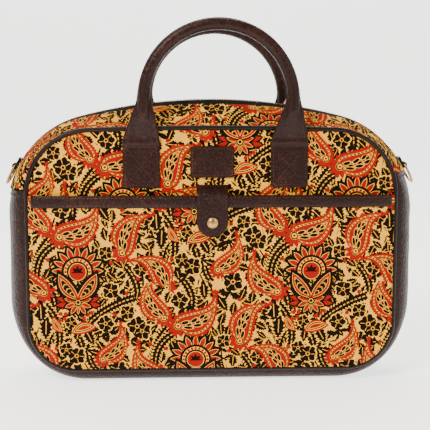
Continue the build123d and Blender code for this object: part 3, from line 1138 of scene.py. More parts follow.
@dataclass(frozen=True)
class Leather:
    """Pebbled leather: cells and noise in relief, colour with cloudy tone, painted highlight on high spots,
    painted shade in hollows.
    """

    name: str
    # deep shows in the hollows of grain and creases as painted shade; worn shows as cloudy tone and as
    # painted highlight on the high spots.
    deep: tuple
    worn: tuple
    grain: float = 460.0
    rough: float = 0.36
    relief: float = 0.0011
    coat: float = 0.05
    warp: float = 0.0016
    drift_scale: float = 140.0
    crease_scale: float = 55.0
    cloud_scale: float = 16.0

    def material(self) -> bpy.types.Material:
        """Build the finish.

        Returns:
            The material.
        """
        tree = Tree(self.name)
        place = tree.object_place()
        drift = tree.node("ShaderNodeTexNoise", Vector=place, Scale=self.drift_scale).outputs[1]
        warped = tree.vector("MULTIPLY_ADD", drift, (self.warp, self.warp, self.warp), place)
        pebble = tree.cells(warped, self.grain, "SMOOTH_F1")
        crease = tree.noise(place, self.crease_scale, 4.0, 0.62)
        cloud = tree.noise(place, self.cloud_scale, 3.0, 0.55)
        height = pebble * -0.8 + crease * 0.9
        # Painted highlight and shade: lighter where pebbles and creases stand high, darker in their hollows;
        # the cloud term is random tone.
        light = ((cloud - 0.46) * 1.8 + (crease - 0.5) * 1.2 + (0.34 - pebble) * 1.4).high(0.0).low(1.0)
        shade = tree.mix(light, self.deep, self.worn)
        rough = crease * 0.24 + (self.rough - 0.1) + pebble * 0.1
        normal = tree.bump(height, 0.75, self.relief)
        return tree.close(Base_Color=shade, Roughness=rough, Normal=normal, Coat_Weight=self.coat,
                          Coat_Roughness=0.28, Specular_IOR_Level=0.12)


@dataclass(frozen=True)
class WovenTape:
    """Black zip tape with a fine herringbone."""

    thread: float = 1800.0
    deep: tuple = colour("050404")
    light: tuple = colour("120E0C")

    def material(self) -> bpy.types.Material:
        """Build the finish.

        Returns:
            The material.
        """
        tree = Tree("zip_tape")
        place = tree.object_place()
        x, y, z = tree.split(place)
        bone = ((x + z * 0.4) * self.thread + abs(y) * self.thread).part()
        shade = tree.mix(bone * 0.6, self.deep, self.light)
        return tree.close(Base_Color=shade, Roughness=0.8, Normal=tree.bump(bone, 0.4, 0.0003),
                          Specular_IOR_Level=0.04)


@dataclass(frozen=True)
class AgedBrass:
    """Aged brass: brighter on rubbed spots, brown in the hollows."""

    name: str = "aged_brass"
    bright: tuple = colour("D6AE70")
    dull: tuple = colour("8A6434")

    def material(self) -> bpy.types.Material:
        """Build the finish.

        Returns:
            The material.
        """
        tree = Tree(self.name)
        place = tree.object_place()
        patch = tree.noise(place, 240.0, 4.0, 0.6)
        fine = tree.noise(place, 2600.0, 2.0)
        shade = tree.mix(((patch - 0.3) * 1.8).high(0.0).low(1.0), self.dull, self.bright)
        return tree.close(Base_Color=shade, Metallic=1.0, Roughness=patch * -0.2 + 0.42,
                          Normal=tree.bump(fine + patch, 0.15, 0.0001))


@dataclass(frozen=True)
class PlainWeave:
    """Plain woven lining or foam."""

    name: str
    light: tuple
    dark: tuple
    thread: float = 900.0

    def material(self) -> bpy.types.Material:
        """Build the finish.

        Returns:
            The material.
        """
        tree = Tree(self.name)
        x, y, z = tree.split(tree.object_place())
        weave = (x * self.thread * math.pi).wave() * (z * self.thread * math.pi).wave()
        shade = tree.mix(weave * 0.5 + 0.5, self.dark, self.light)
        return tree.close(Base_Color=shade, Roughness=0.88, Normal=tree.bump(weave + y, 0.3, 0.0003))


class Wardrobe:
    """Every finish of the bag, made once."""

    def __init__(self) -> None:
        """Build the finishes."""
        self.print = PrintedCotton().material()
        # Each leather and the thread are lighter on their high spots and darker in their hollows, as painted
        # highlight and shade.
        self.leather = Leather("brown_leather", colour("1B0906"), colour("3C1C12")).material()
        self.piping = Leather("leather_piping", colour("120806"), colour("24120C"), grain=900.0, rough=0.4,
                              relief=0.0002).material()
        self.dark = Leather("black_leather", colour("0B0706"), colour("1C120E"), grain=800.0,
                            rough=0.45).material()
        self.thread = Leather("sewing_thread", colour("341B12"), colour("7C5844"), grain=2500.0, rough=0.55,
                              relief=0.0001, coat=0.0).material()
        self.tape = WovenTape().material()
        self.brass = AgedBrass().material()
        self.lining = PlainWeave("lining_weave", colour("3A302C"), colour("2A2220")).material()
        self.foam = PlainWeave("foam_skin", colour("B9B6AE"), colour("A4A098"), 400.0).material()
        self.board = PlainWeave("board_skin", colour("2E2B29"), colour("242120"), 300.0).material()


# Form of the bag


@dataclass(frozen=True)
class BagForm:
    """Rounded outline of the bag in mm, which grows from each panel's seam to the crest of the gusset."""

    seam_half: float = 178.0
    body_half: float = 200.0
    seam_bottom: float = 14.0
    seam_height: float = 250.5
    crest_height: float = 276.5
    seam_shoulder: float = 246.0
    crest_shoulder: float = 235.3
    seam_top_radius: float = 62.0
    crest_top_radius: float = 95.0
    seam_bottom_radius: float = 46.0
    crest_bottom_radius: float = 80.0
    half_depth: float = 37.6
    panel_front: float = 42.25
    middle_height: float = 130.0
    side_power: float = 2.2
    bottom_flat: float = 0.55
    top_power: float = 1.35
    leather_top_left: float = 190.0
    leather_top_right: float = 207.5
    leather_reach: float = 205.0
    panel_crown: float = 2.4
    panel_draw: float = 2.2
    pocket_seam: float = 41.4
    pocket_swell: float = 7.5
    pocket_ripple: float = 0.35
    straight_count: int = 60
    arc_count: int = 40

    def growth(self, depth: Array) -> tuple[Array, Array, Array]:
        """Growth of sides, bottom and top at a share of the depth: roots and powers that are 0 at the seam.

        Args:
            depth: Share of the depth, -1 at the front seam and 1 at the back.

        Returns:
            Growth of the sides, of the bottom and of the top, 1 in the middle of the depth.
        """
        share = np.clip(np.abs(depth), 0.0, 1.0)
        side = np.sqrt(1.0 - share ** self.side_power)
        past = np.clip((share - self.bottom_flat) / (1.0 - self.bottom_flat), 0.0, 1.0)
        return side, np.sqrt(1.0 - past ** 2), 1.0 - share ** self.top_power

    def outline(self, side: Array, bottom: Array, top: Array, inset: float = 0.0) -> Array:
        """Outline from the bottom middle up the right side and round: lines and arcs that meet smoothly.

        Args:
            side: Growth of the half width and the corner radii, one for each row.
            bottom: Growth of the bottom.
            top: Growth of the top.
            inset: Distance to move the outline inwards, in mm.

        Returns:
            Points (x, z), shape (rows, points, 2), with the first point repeated at the end.
        """
        side, bottom, top = (np.atleast_1d(np.asarray(part, dtype=float))[:, None]
                             for part in (side, bottom, top))
        half = self.seam_half + (self.body_half - self.seam_half) * side - inset
        low = self.seam_bottom * (1.0 - bottom) + inset
        shoulder = self.seam_shoulder + (self.crest_shoulder - self.seam_shoulder) * top - inset
        crown = self.seam_height + (self.crest_height - self.seam_height) * top - inset
        upper = self.seam_top_radius + (self.crest_top_radius - self.seam_top_radius) * side - inset
        spread = self.crest_bottom_radius - self.seam_bottom_radius
        lower = self.seam_bottom_radius + spread * side - inset
        rise = crown - shoulder
        radius = (half ** 2 + rise ** 2) / (2 * rise)
        centre = crown - radius
        corner = centre + np.sqrt((radius - upper) ** 2 - (half - upper) ** 2)
        line = np.linspace(0.0, 1.0, self.straight_count, endpoint=False)[None]
        bend = np.linspace(0.0, 1.0, self.arc_count, endpoint=False)[None]
        crest = np.linspace(0.0, 1.0, 2 * self.arc_count)[None]
        turn = np.arctan2(corner - centre, half - upper)
        fall = (bend - 1.0) * math.pi / 2
        over = turn + (math.pi / 2 - turn) * crest
        x = np.hstack([(half - lower) * line, half - lower + lower * np.cos(fall), half + 0.0 * line,
                       half - upper + upper * np.cos(turn * bend), radius * np.cos(over)])
        z = np.hstack([low + 0.0 * line, low + lower + lower * np.sin(fall),
                       low + lower + (corner - low - lower) * line, corner + upper * np.sin(turn * bend),
                       centre + radius * np.sin(over)])
        right = np.stack([x, z], axis=-1)
        left = right[:, -2::-1] * np.array([-1.0, 1.0])
        return np.concatenate([right, left], axis=1)

    def seam(self, inset: float = 0.0) -> Array:
        """Outline of a panel, shape (points, 2), without its repeated end."""
        return self.outline(0.0, 0.0, 0.0, inset)[0, :-1]

    def cut(self, x: Array) -> Array:
        """Height where the leather ends and the printed strip starts: a straight line across the bag.

        Args:
            x: Places across the bag, in mm.

        Returns:
            The height at each place, in mm.
        """
        share = (x + self.leather_reach) / (2 * self.leather_reach)
        return self.leather_top_left + (self.leather_top_right - self.leather_top_left) * share

    def share(self, x: Array, z: Array) -> Array:
        """How far out a place on a panel lies: 0 at its middle and 1 on the seam, along straight rays.

        Args:
            x: Places across, in mm.
            z: Heights, in mm.

        Returns:
            The share at each place.
        """
        seam = self.seam()
        angle = np.arctan2(seam[:, 1] - self.middle_height, seam[:, 0])
        order = np.argsort(angle)
        reach = np.hypot(seam[:, 0], seam[:, 1] - self.middle_height)
        edge = np.interp(np.arctan2(z - self.middle_height, x), angle[order], reach[order],
                         period=2 * math.pi)
        return np.hypot(x, z - self.middle_height) / edge

    def panel_face(self, x: Array, z: Array) -> Array:
        """Distance of a panel's face from the middle: crowned by one less the square of the share, and
        drawn in by a high power of it where it meets the piping.

        Args:
            x: Places across, in mm.
            z: Heights, in mm.

        Returns:
            The distance at each place, in mm.
        """
        share = np.clip(self.share(x, z), 0.0, 1.0)
        return self.panel_front + self.panel_crown * (1.0 - share ** 2) - self.panel_draw * share ** 22

    def pocket_face(self, x: Array, z: Array) -> Array:
        """Distance of the pocket's cloth from the middle: full and level inside, falling to the seam at its
        edge by a root of one less a high power of the share, with a slight ripple.

        Args:
            x: Places across, in mm.
            z: Heights, in mm.

        Returns:
            The distance at each place, in mm.
        """
        share = np.clip(self.share(x, z), 0.0, 1.0)
        swell = (1.0 - share ** 9) ** 0.62
        uneven = self.pocket_ripple * ripple(x, z, 150.0, 2.3) * (1.0 - share ** 4)
        return self.pocket_seam + self.pocket_swell * swell + uneven

    def stretch(self, depth: Array, start: int, end: int, count: int) -> tuple[Array, Array]:
        """Part of the gusset: each row is one outline, walked evenly between two lengths along it.

        Args:
            depth: Share of the depth of each row, from -1 at the front seam to 1 at the back.
            start: Where the part starts: 0 at the bottom middle, 1 at the right cut, 2 at the left cut and
                3 back at the bottom.
            end: Where it ends.
            count: Points in each row.

        Returns:
            Points, shape (rows, count, 3), and the lengths along each row.
        """
        loop = self.outline(*self.growth(depth))
        steps = np.linalg.norm(np.diff(loop, axis=1), axis=2)
        length = np.concatenate([np.zeros((len(loop), 1)), np.cumsum(steps, axis=1)], axis=1)
        above = loop[..., 1] > self.cut(loop[..., 0])
        first = above.argmax(axis=1)
        last = above.shape[1] - 1 - above[:, ::-1].argmax(axis=1)
        rows = np.arange(len(loop))
        gap = loop[..., 1] - self.cut(loop[..., 0])
        rising = first - gap[rows, first] / (gap[rows, first] - gap[rows, first - 1])
        falling = last + gap[rows, last] / (gap[rows, last] - gap[rows, last + 1])
        last_point = np.full(len(loop), above.shape[1] - 1.0)
        marks = np.stack([np.zeros(len(loop)), rising, falling, last_point], axis=1)
        places = []
        for row in rows:
            low, high = np.interp(marks[row, [start, end]], np.arange(above.shape[1]), length[row])
            walk = np.linspace(low, high, count)
            x, z = (np.interp(walk, length[row], loop[row, :, axis]) for axis in (0, 1))
            places.append(np.stack([x, z], axis=-1))
        flat = np.array(places)
        away = np.broadcast_to((depth * self.half_depth)[:, None], flat.shape[:2])
        walked = np.linalg.norm(np.diff(flat, axis=1), axis=2).cumsum(axis=1)
        return np.stack([flat[..., 0], away, flat[..., 1]], axis=-1), np.pad(walked, ((0, 0), (1, 0)))


FORM = BagForm()


def grid_area(points: Array) -> float:
    """Area of a grid of points: half the cross product of each face's diagonals.

    Args:
        points: The grid, in mm.

    Returns:
        The area, in square metres.
    """
    one = points[1:, 1:] - points[:-1, :-1]
    other = points[1:, :-1] - points[:-1, 1:]
    return float(np.linalg.norm(np.cross(one, other), axis=-1).sum() / 2 * MM * MM)


def declare(piece: Piece, points: Array, held: str, *rests: str) -> None:
    """Measure a sheet's flat size along its grid; nothing is done with the size.

    Args:
        piece: The sheet; not used.
        points: Its grid, in mm.
        held: How it is held; not used.
        rests: What it rests on; not used.
    """
    area = grid_area(points)


# Sub-assemblies


@dataclass
class Panel:
    """Front or back panel: printed cloth over foam, inside its piping."""

    side: Side
    rings: int = 30
    edge_inset: float = 1.0
    wall: float = 1.2
    piping_radius: float = 2.25
    piping_depth: float = 40.0
    piping_sides: int = 14
    print_shift: tuple = (44.0, 66.0)
    uneven: float = 0.25

    def build(self, wear: Wardrobe) -> None:
        """Make the cloth and its piping.

        Args:
            wear: The finishes.
        """
        self.cloth(wear)
        self.piping(wear)

    def cloth(self, wear: Wardrobe) -> None:
        """Make the cloth on rays from the middle to the seam, crowned by the form's panel face.

        Args:
            wear: The finishes.
        """
        flat, reach = rays(FORM.seam(self.edge_inset), np.array([0.0, FORM.middle_height]), self.rings)
        x, z = flat[..., 0], flat[..., 1]
        away = FORM.panel_face(x, z) + self.uneven * ripple(x, z, 130.0, 0.7) * (1.0 - reach ** 6)
        points = np.stack([x, self.side.value * away, z], axis=-1)
        uv = np.stack([-self.side.value * x - self.print_shift[0], z - self.print_shift[1]], axis=-1)
        piece = grid_piece(f"{self.side.word}_panel_cloth", points, uv, flip=self.side is Side.BACK)
        piece.outward().thick(self.wall)
        piece.dressed(wear.print, "printed_cotton", "bag", f"{self.side.word}_panel")
        declare(piece, points, "stretched", f"foam_{self.side.word}")

    def piping(self, wear: Wardrobe) -> None:
        """Carry a round cord along the seam.

        Args:
            wear: The finishes.
        """
        seam = FORM.seam()
        depth = np.full(len(seam), self.side.value * self.piping_depth)
        path = np.stack([seam[:, 0], depth, seam[:, 1]], axis=-1)
        up = everywhere((0.0, 1.0, 0.0), path)
        out = np.cross(loop_tangent(path), up)
        profile = oval(2 * self.piping_radius, 2 * self.piping_radius, self.piping_sides)
        piece = carried(f"{self.side.word}_piping_cord", path, out, up, profile, closed=True)
        piece.dressed(wear.piping, "leather_piping", "bag", f"{self.side.word}_piping")


@dataclass
class Gusset:
    """Band round the bag: leather below the slanted cuts, printed strips above, and the zip tape."""

    rows: int = 41
    columns: int = 150
    leather_columns: int = 260
    hem: float = 6.5
    wall: float = 1.6
    strip_edge: float = 11.6
    tape_edge: float = 2.1
    tape_wall: float = 0.8
    tape_under: float = 1.5
    tape_sink: float = 0.5
    dent: float = 0.9
    dent_limit: float = 0.3
    seam_groove: float = 0.8
    hem_rise: float = 0.9
    print_shift: tuple = (30.0, 118.0)
    stitch_low: float = 30.0
    stitch_rise: float = 0.1

    def build(self, wear: Wardrobe) -> None:
        """Make the leather halves, the strips and the tapes.

        Args:
            wear: The finishes.
        """
        for hand in Hand:
            self.leather(wear, hand)
        for side in Side:
            self.strip(wear, side)
            self.tape(wear, side)

    def leather(self, wear: Wardrobe, hand: Hand) -> None:
        """Make one leather half: the form's outlines from the bottom seam to the cut, with soft dents, a
        groove at the bottom seam and a raised hem below the cut.

        Args:
            wear: The finishes.
            hand: Which half.
        """
        depth = np.sin(np.linspace(-math.pi / 2, math.pi / 2, self.rows))
        ends = (0, 1) if hand is Hand.RIGHT else (2, 3)
        points, length = FORM.stretch(depth, *ends, self.leather_columns)
        rest = length[:, -1:] - length if hand is Hand.RIGHT else length
        run = 1.0 - rest / length[:, -1:]
        inner = np.clip(1.0 - depth[:, None] ** 4, 0.0, 1.0)
        dent = self.dent * ripple(points[..., 1] * 1.6, points[..., 2], 120.0, 1.1 + hand.value) * inner
        groove = self.seam_groove * np.exp(-(run / 0.006) ** 2)
        dent = np.minimum(dent - groove, self.dent_limit) - self.dent_limit
        dent = dent + self.hem_rise * (1.0 - smooth_step(rest, self.hem - 1.0, self.hem + 1.2)) * inner
        lift = smooth_step(points[..., 2], 6.0, 30.0)
        points[..., 0] += hand.value * dent * lift
        self.stitches(wear, hand, points, rest)
        piece = grid_piece(f"{hand.word}_gusset_leather", points, flip=True).outward().thick(self.wall)
        piece.dressed(wear.leather, "brown_leather", "bag", f"side_gusset_{hand.word}")
        declare(piece, points, "stretched")

    def stitches(self, wear: Wardrobe, hand: Hand, points: Array, rest: Array) -> None:
        """Sew rows of stitches under the hem and beside each piping.

        Args:
            wear: The finishes.
            hand: Which half.
            points: Grid of the leather, in mm.
            rest: Length from each point to the cut.
        """
        normal = np.cross(np.gradient(points, axis=1), np.gradient(points, axis=0))
        normal = unit(normal) * hand.value * np.sign(normal[..., :1])
        under = np.abs(rest - self.hem + 1.6).argmin(axis=1)
        rows = np.arange(3, self.rows - 3)
        lines = [(rows, under[rows])]
        for row in (4, self.rows - 5):
            clear = (rest[row] > self.hem) & (points[row, :, 2] > self.stitch_low)
            lines.append((row, np.flatnonzero(clear)))
        runs = [(points[line] + normal[line] * self.stitch_rise, normal[line], False) for line in lines]
        Thread(pitch=3.4, length=2.5, width=0.8, rise=0.45).sew(
            f"{hand.word}_gusset_stitches", runs).dressed(wear.thread, "brown_leather", "bag")

    def across(self, side: Side, start: float, end: float, rows: int) -> Array:
        """Shares of the depth between two distances from the middle, on one side.

        Args:
            side: Which side.
            start: First distance, in mm.
            end: Last distance, in mm.
            rows: Number of shares.

        Returns:
            The shares.
        """
        return side.value * np.linspace(start, end, rows) / FORM.half_depth

    def strip(self, wear: Wardrobe, side: Side) -> None:
        """Make the printed strip between a panel's seam and the zip tape.

        Args:
            wear: The finishes.
            side: Which side.
        """
        depth = self.across(side, FORM.half_depth, self.strip_edge, 16)
        points, length = FORM.stretch(depth, 1, 2, 2 * self.columns)
        over = np.linalg.norm(np.diff(points, axis=0), axis=-1).cumsum(axis=0)
        up = np.pad(over, ((1, 0), (0, 0)))
        middle = length - length[:, -1:] / 2
        uv = np.stack([side.value * middle + self.print_shift[0], up + self.print_shift[1]], axis=-1)
        piece = grid_piece(f"{side.word}_top_strip", points, uv, flip=side is Side.BACK)
        piece.thick(self.wall, -side.value)
        piece.dressed(wear.print, "printed_cotton", "bag", f"top_gusset_{side.word}")
        declare(piece, points, "stretched")

    def tape(self, wear: Wardrobe, side: Side) -> None:
        """Make the zip tape from under the strip to the teeth.

        Args:
            wear: The finishes.
            side: Which side.
        """
        depth = self.across(side, self.strip_edge + self.tape_under, self.tape_edge, 6)
        points, _ = FORM.stretch(depth, 1, 2, 2 * self.columns)
        points[..., 2] -= self.tape_sink
        piece = grid_piece(f"{side.word}_zip_tape", points, flip=side is Side.BACK)
        piece.thick(self.tape_wall, -side.value)
        piece.dressed(wear.tape, "zip_tape", "bag", f"zip_tape_{side.word}")
        declare(piece, points, "stretched")


@dataclass
class Pocket:
    """Front pocket: a full cloth sewn in with the seam, and a stitched leather band along its mouth."""

    top: float = 186.0
    middle: float = 104.0
    rings: int = 34
    wall: float = 1.1
    band_half: float = 173.4
    band_low: float = 174.5
    band_high: float = 186.5
    band_wall: float = 3.2
    band_power: float = 2.8
    stitch_inset: float = 2.4
    seam_inset: float = 1.6
    band_points: int = 140

    def build(self, wear: Wardrobe) -> None:
        """Make the cloth, the band and its stitches.

        Args:
            wear: The finishes.
        """
        self.cloth(wear)
        self.band(wear)

    def cloth(self, wear: Wardrobe) -> None:
        """Make the cloth on rays from the pocket's middle to the seam below and the straight mouth above.

        Args:
            wear: The finishes.
        """
        seam = FORM.seam(self.seam_inset)
        edge = np.stack([seam[:, 0], np.minimum(seam[:, 1], self.top)], axis=-1)
        flat, _ = rays(edge, np.array([0.0, self.middle]), self.rings)
        x, z = flat[..., 0], flat[..., 1]
        points = np.stack([x, -FORM.pocket_face(x, z), z], axis=-1)
        piece = grid_piece("pocket_cloth", points, np.stack([x, z], axis=-1)).outward().thick(self.wall)
        piece.dressed(wear.print, "printed_cotton", "bag", "front_pocket")
        declare(piece, points, "stretched", "front_panel_cloth")

    def band_path(self, height: float, rise: float) -> Array:
        """Line along the mouth, off the cloth.

        Args:
            height: Height of the line, in mm.
            rise: Distance off the cloth, in mm.

        Returns:
            Points, shape (n, 3), in mm.
        """
        x = np.linspace(-self.band_half, self.band_half, self.band_points)
        z = np.full_like(x, height)
        return np.stack([x, -FORM.pocket_face(x, z) - rise, z], axis=-1)

    def band(self, wear: Wardrobe) -> None:
        """Make the folded band: a flat oval carried along the mouth, with two rows of stitches.

        Args:
            wear: The finishes.
        """
        middle = (self.band_low + self.band_high) / 2
        path = self.band_path(middle, 0.5)
        across = everywhere((0.0, 0.0, 1.0), path)
        out = everywhere((0.0, -1.0, 0.0), path)
        profile = oval(self.band_high - self.band_low, self.band_wall, 36, self.band_power)
        piece = carried("pocket_band_leather", path, across, out, profile)
        piece.dressed(wear.leather, "brown_leather", "bag", "pocket_band")
        share = 1.0 - 2.0 * self.stitch_inset / (self.band_high - self.band_low)
        face = 0.4 + self.band_wall / 2 * (1.0 - share ** self.band_power) ** (1.0 / self.band_power)
        rows = [(self.band_path(height, face)[1:-1], (0.0, -1.0, 0.0), False)
                for height in (self.band_low + self.stitch_inset, self.band_high - self.stitch_inset)]
        Thread().sew("pocket_band_stitches", rows).dressed(wear.thread, "brown_leather", "bag")


@dataclass
class Handle:
    """One rolled handle: a round grip whose two ends flare into flat sewn tabs."""

    side: Side
    spacing: float = 141.6
    tab_shift: float = 3.0
    arch_shift: float = 6.0
    grip: float = 12.0
    grip_away: float = 48.9
    arch: float = 277.4
    flare_top: float = 269.5
    flare_low: float = 233.5
    flare_start: float = 4.5
    flare_run: float = 40.0
    flare_power: float = 1.15
    flare_soft: float = 0.02
    tab_width: float = 35.6
    tab_low: float = 193.4
    tab_wall: float = 2.4
    corner: float = 3.0
    rim: float = 0.7
    rim_inset: float = 1.3
    rim_spread: float = 0.8
    edge_power: float = 6.0
    fold_ridge: float = 1.04
    fold_groove: float = 0.72
    stitch_inset: float = 2.6
    flare_inset: float = 3.2
    sides: int = 48

    def build(self, wear: Wardrobe) -> None:
        """Make the leather and its stitches.

        Args:
            wear: The finishes.
        """
        self.leather(wear)
        self.stitches(wear)

    def tab_away(self, height: Array) -> Array:
        """Distance of the tab's middle from the bag's middle: on the panel, then leaning out to the grip.

        Args:
            height: Heights, in mm.

        Returns:
            The distance at each height, in mm.
        """
        leg = np.full_like(height, self.spacing / 2)
        sewn = FORM.panel_face(leg, np.minimum(height, self.flare_low)) + self.tab_wall / 2
        return sewn + (self.grip_away - sewn) * smooth_step(height, self.flare_low - 2.0, self.flare_top)

    def shift(self, height: Array) -> Array:
        """Sideways place of the handle's middle line: the tabs', then leaning over to the arch's."""
        lean = smooth_step(height, self.flare_low, self.arch)
        return self.tab_shift + (self.arch_shift - self.tab_shift) * lean

    def tab_half(self, height: Array) -> Array:
        """Half width of a leg: the tab's, then a slanted line that bends smoothly into the grip's.

        The bend is the smaller of two lines with its corner rounded by a root.

        Args:
            height: Heights, in mm.

        Returns:
            The half width at each height, in mm.
        """
        start = self.flare_low + self.flare_start
        rise = np.clip((height - start) / self.flare_run, 0.0, None) ** self.flare_power
        narrow = (rise + 1.0 - np.sqrt((rise - 1.0) ** 2 + self.flare_soft)) / 2
        return self.tab_width / 2 + (self.grip / 2 - self.tab_width / 2) * narrow

    def leather(self, wear: Wardrobe) -> None:
        """Carry the handle's profile up one leg, over a half circle and down the other leg.

        Args:
            wear: The finishes.
        """
        half = self.spacing / 2
        low = np.array([0.0, 0.5, 1.4, 2.6, 4.0])
        leg = np.concatenate([self.tab_low + low, np.linspace(self.tab_low + 6.0, self.flare_low - 2.0, 18),
                              np.linspace(self.flare_low, self.arch, 36)])
        turn = np.linspace(math.pi, 0.0, 72)[1:-1]
        x = np.concatenate([np.full(len(leg), -half), half * np.cos(turn), np.full(len(leg), half)])
        z = np.concatenate([leg, self.arch + half * np.sin(turn), leg[::-1]])
        away = self.tab_away(np.minimum(z, self.flare_top))
        path = np.stack([x + self.shift(z), self.side.value * away, z], axis=-1)
        lean = np.concatenate([np.full(len(leg), math.pi), turn, np.full(len(leg), 0.0)])
        across = np.stack([np.cos(lean), 0.0 * lean, np.sin(lean)], axis=-1)
        out = everywhere((0.0, self.side.value, 0.0), path)
        piece = carried(f"{self.side.word}_handle_leather", path, across, out, self.profile(z))
        piece.dressed(wear.leather, "brown_leather", "bag", f"handle_{self.side.word}")

    def profile(self, z: Array) -> Array:
        """Profile at each height: a flat sheet with round edges at the tabs, on which a tube swells.

        The tube's height is a power of one less the square of the place across, until it is the whole
        round grip. A rim along each flared edge, and a ridge and a groove at the fold, are bell curves.

        Args:
            z: Heights, shape (n,), in mm.

        Returns:
            Profiles, shape (n, sides, 2), in mm.
        """
        wide = (self.tab_half(z) - nicked(z - self.tab_low, self.corner))[:, None]
        z = z[:, None]
        round_share = smooth_step(z, self.flare_low + 4.0, self.flare_top)
        turns = np.linspace(0, 2 * math.pi, self.sides, endpoint=False)[None] + math.pi / self.sides
        cosine, sine = np.cos(turns), np.sin(turns)
        power = 2.0 + self.edge_power * (1.0 - round_share) ** 2
        sheet = self.tab_wall / 2 * (1.0 - np.abs(cosine) ** power) ** (1.0 / power)
        across = cosine * wide
        swell = np.clip(1.0 - (across / (self.grip / 2 + 0.3 * (1.0 - round_share))) ** 2, 0.0, 1.0)
        tube = (self.grip - self.tab_wall) / 2 * round_share * swell ** (1.1 - 0.6 * round_share)
        flared = smooth_step(z, self.flare_low, self.flare_low + 5.0)
        flared = flared * (1.0 - smooth_step(z, self.flare_top - 12.0, self.flare_top))
        inside = np.abs(across) - wide + self.rim_inset
        rim = self.rim * np.exp(-(inside / self.rim_spread) ** 2) * flared
        ridge = self.fold_ridge * np.exp(-((z - self.flare_low - 3.5) / 2.0) ** 2)
        groove = self.fold_groove * np.exp(-((z - self.flare_low + 1.0) / 1.2) ** 2)
        outer = (rim + ridge - groove) * np.clip(sine * 3.0, 0.0, 1.0)
        return np.stack([across, np.sign(sine) * (sheet + tube) + outer], axis=-1)

    def on_tab(self, x: Array, z: Array, centre: float, rise: float) -> Array:
        """Points on a tab's face, from places on it.

        Args:
            x: Places across the tab, in mm.
            z: Heights, in mm.
            centre: Place of the leg's middle line, in mm.
            rise: Distance off the tab's middle, in mm.

        Returns:
            Points, shape (n, 3), in mm.
        """
        away = self.tab_away(z) + rise
        return np.stack([centre + x + self.shift(z), self.side.value * away, z], axis=-1)

    def stitches(self, wear: Wardrobe) -> None:
        """Sew a box and a cross on each tab, and a row inside each flared edge.

        Args:
            wear: The finishes.
        """
        edge = self.tab_width / 2 - self.stitch_inset
        low, high = self.tab_low + self.stitch_inset, self.flare_low - 1.0
        rise = self.tab_wall / 2 - 0.1
        out = (0.0, float(self.side.value), 0.0)
        runs = []
        for centre in (-self.spacing / 2, self.spacing / 2):
            corners = [(-edge, low), (edge, low), (edge, high), (-edge, high)]
            for first, last in ((0, 1), (1, 2), (2, 3), (3, 0), (0, 2), (1, 3)):
                x, z = (np.linspace(*ends, 30) for ends in zip(corners[first], corners[last]))
                runs.append((self.on_tab(x, z, centre, rise), out, False))
            z = np.linspace(self.flare_low + 7.0, self.flare_top - 14.0, 30)
            for sign in (-1.0, 1.0):
                inside = sign * (self.tab_half(z) - self.flare_inset)
                runs.append((self.on_tab(inside, z, centre, rise), out, False))
        Thread(pitch=3.2, length=2.4, width=0.8, rise=0.45).sew(
            f"{self.side.word}_handle_stitches", runs).dressed(wear.thread, "brown_leather", "bag")


@dataclass
class Patch:
    """Bare leather patch, sewn on round its edge."""

    half: float = 21.0
    low: float = 203.0
    high: float = 233.0
    wall: float = 1.8
    corner: float = 1.5
    stitch_inset: float = 2.0

    def face(self, x: Array, z: Array, rise: float | Array) -> Array:
        """Points over the front panel.

        Args:
            x: Places across, in mm.
            z: Heights, in mm.
            rise: Distance off the panel's face, in mm.

        Returns:
            Points, shape (n, 3), in mm.
        """
        return np.stack([x, -FORM.panel_face(x, z) - rise, z], axis=-1)

    def build(self, wear: Wardrobe) -> None:
        """Carry a flat oval up the panel, its corners rounded off, and sew it.

        Args:
            wear: The finishes.
        """
        close = np.array([0.0, 0.3, 0.9])
        z = np.concatenate([self.low + close, np.linspace(self.low + 1.6, self.high - 1.6, 20),
                            self.high - close[::-1]])
        path = self.face(0.0 * z, z, self.wall / 2 - 0.2)
        across = everywhere((1.0, 0.0, 0.0), path)
        out = everywhere((0.0, -1.0, 0.0), path)
        wide = self.half - nicked(np.minimum(z - self.low, self.high - z), self.corner)
        profile = widened(oval(2.0, self.wall, 40, 7.0), wide)
        piece = carried("front_patch_leather", path, across, out, profile)
        piece.dressed(wear.leather, "brown_leather", "bag", "front_patch")
        self.stitches(wear)

    def stitches(self, wear: Wardrobe) -> None:
        """Sew a row inside the patch's edge, level with its flat face.

        Args:
            wear: The finishes.
        """
        edge = self.half - self.stitch_inset
        low, high = self.low + self.stitch_inset, self.high - self.stitch_inset
        corners = np.array([(-edge, low), (edge, low), (edge, high), (-edge, high), (-edge, low)])
        runs = []
        for start, end in zip(corners[:-1], corners[1:]):
            x, z = np.linspace(start, end, 24).T
            rise = self.wall - 0.3 + FORM.panel_face(0.0 * x, z) - FORM.panel_face(x, z)
            runs.append((self.face(x, z, rise), (0.0, -1.0, 0.0), False))
        Thread(pitch=2.9, length=2.1, width=0.7, rise=0.35).sew(
            "front_patch_stitches", runs).dressed(wear.thread, "brown_leather", "bag")


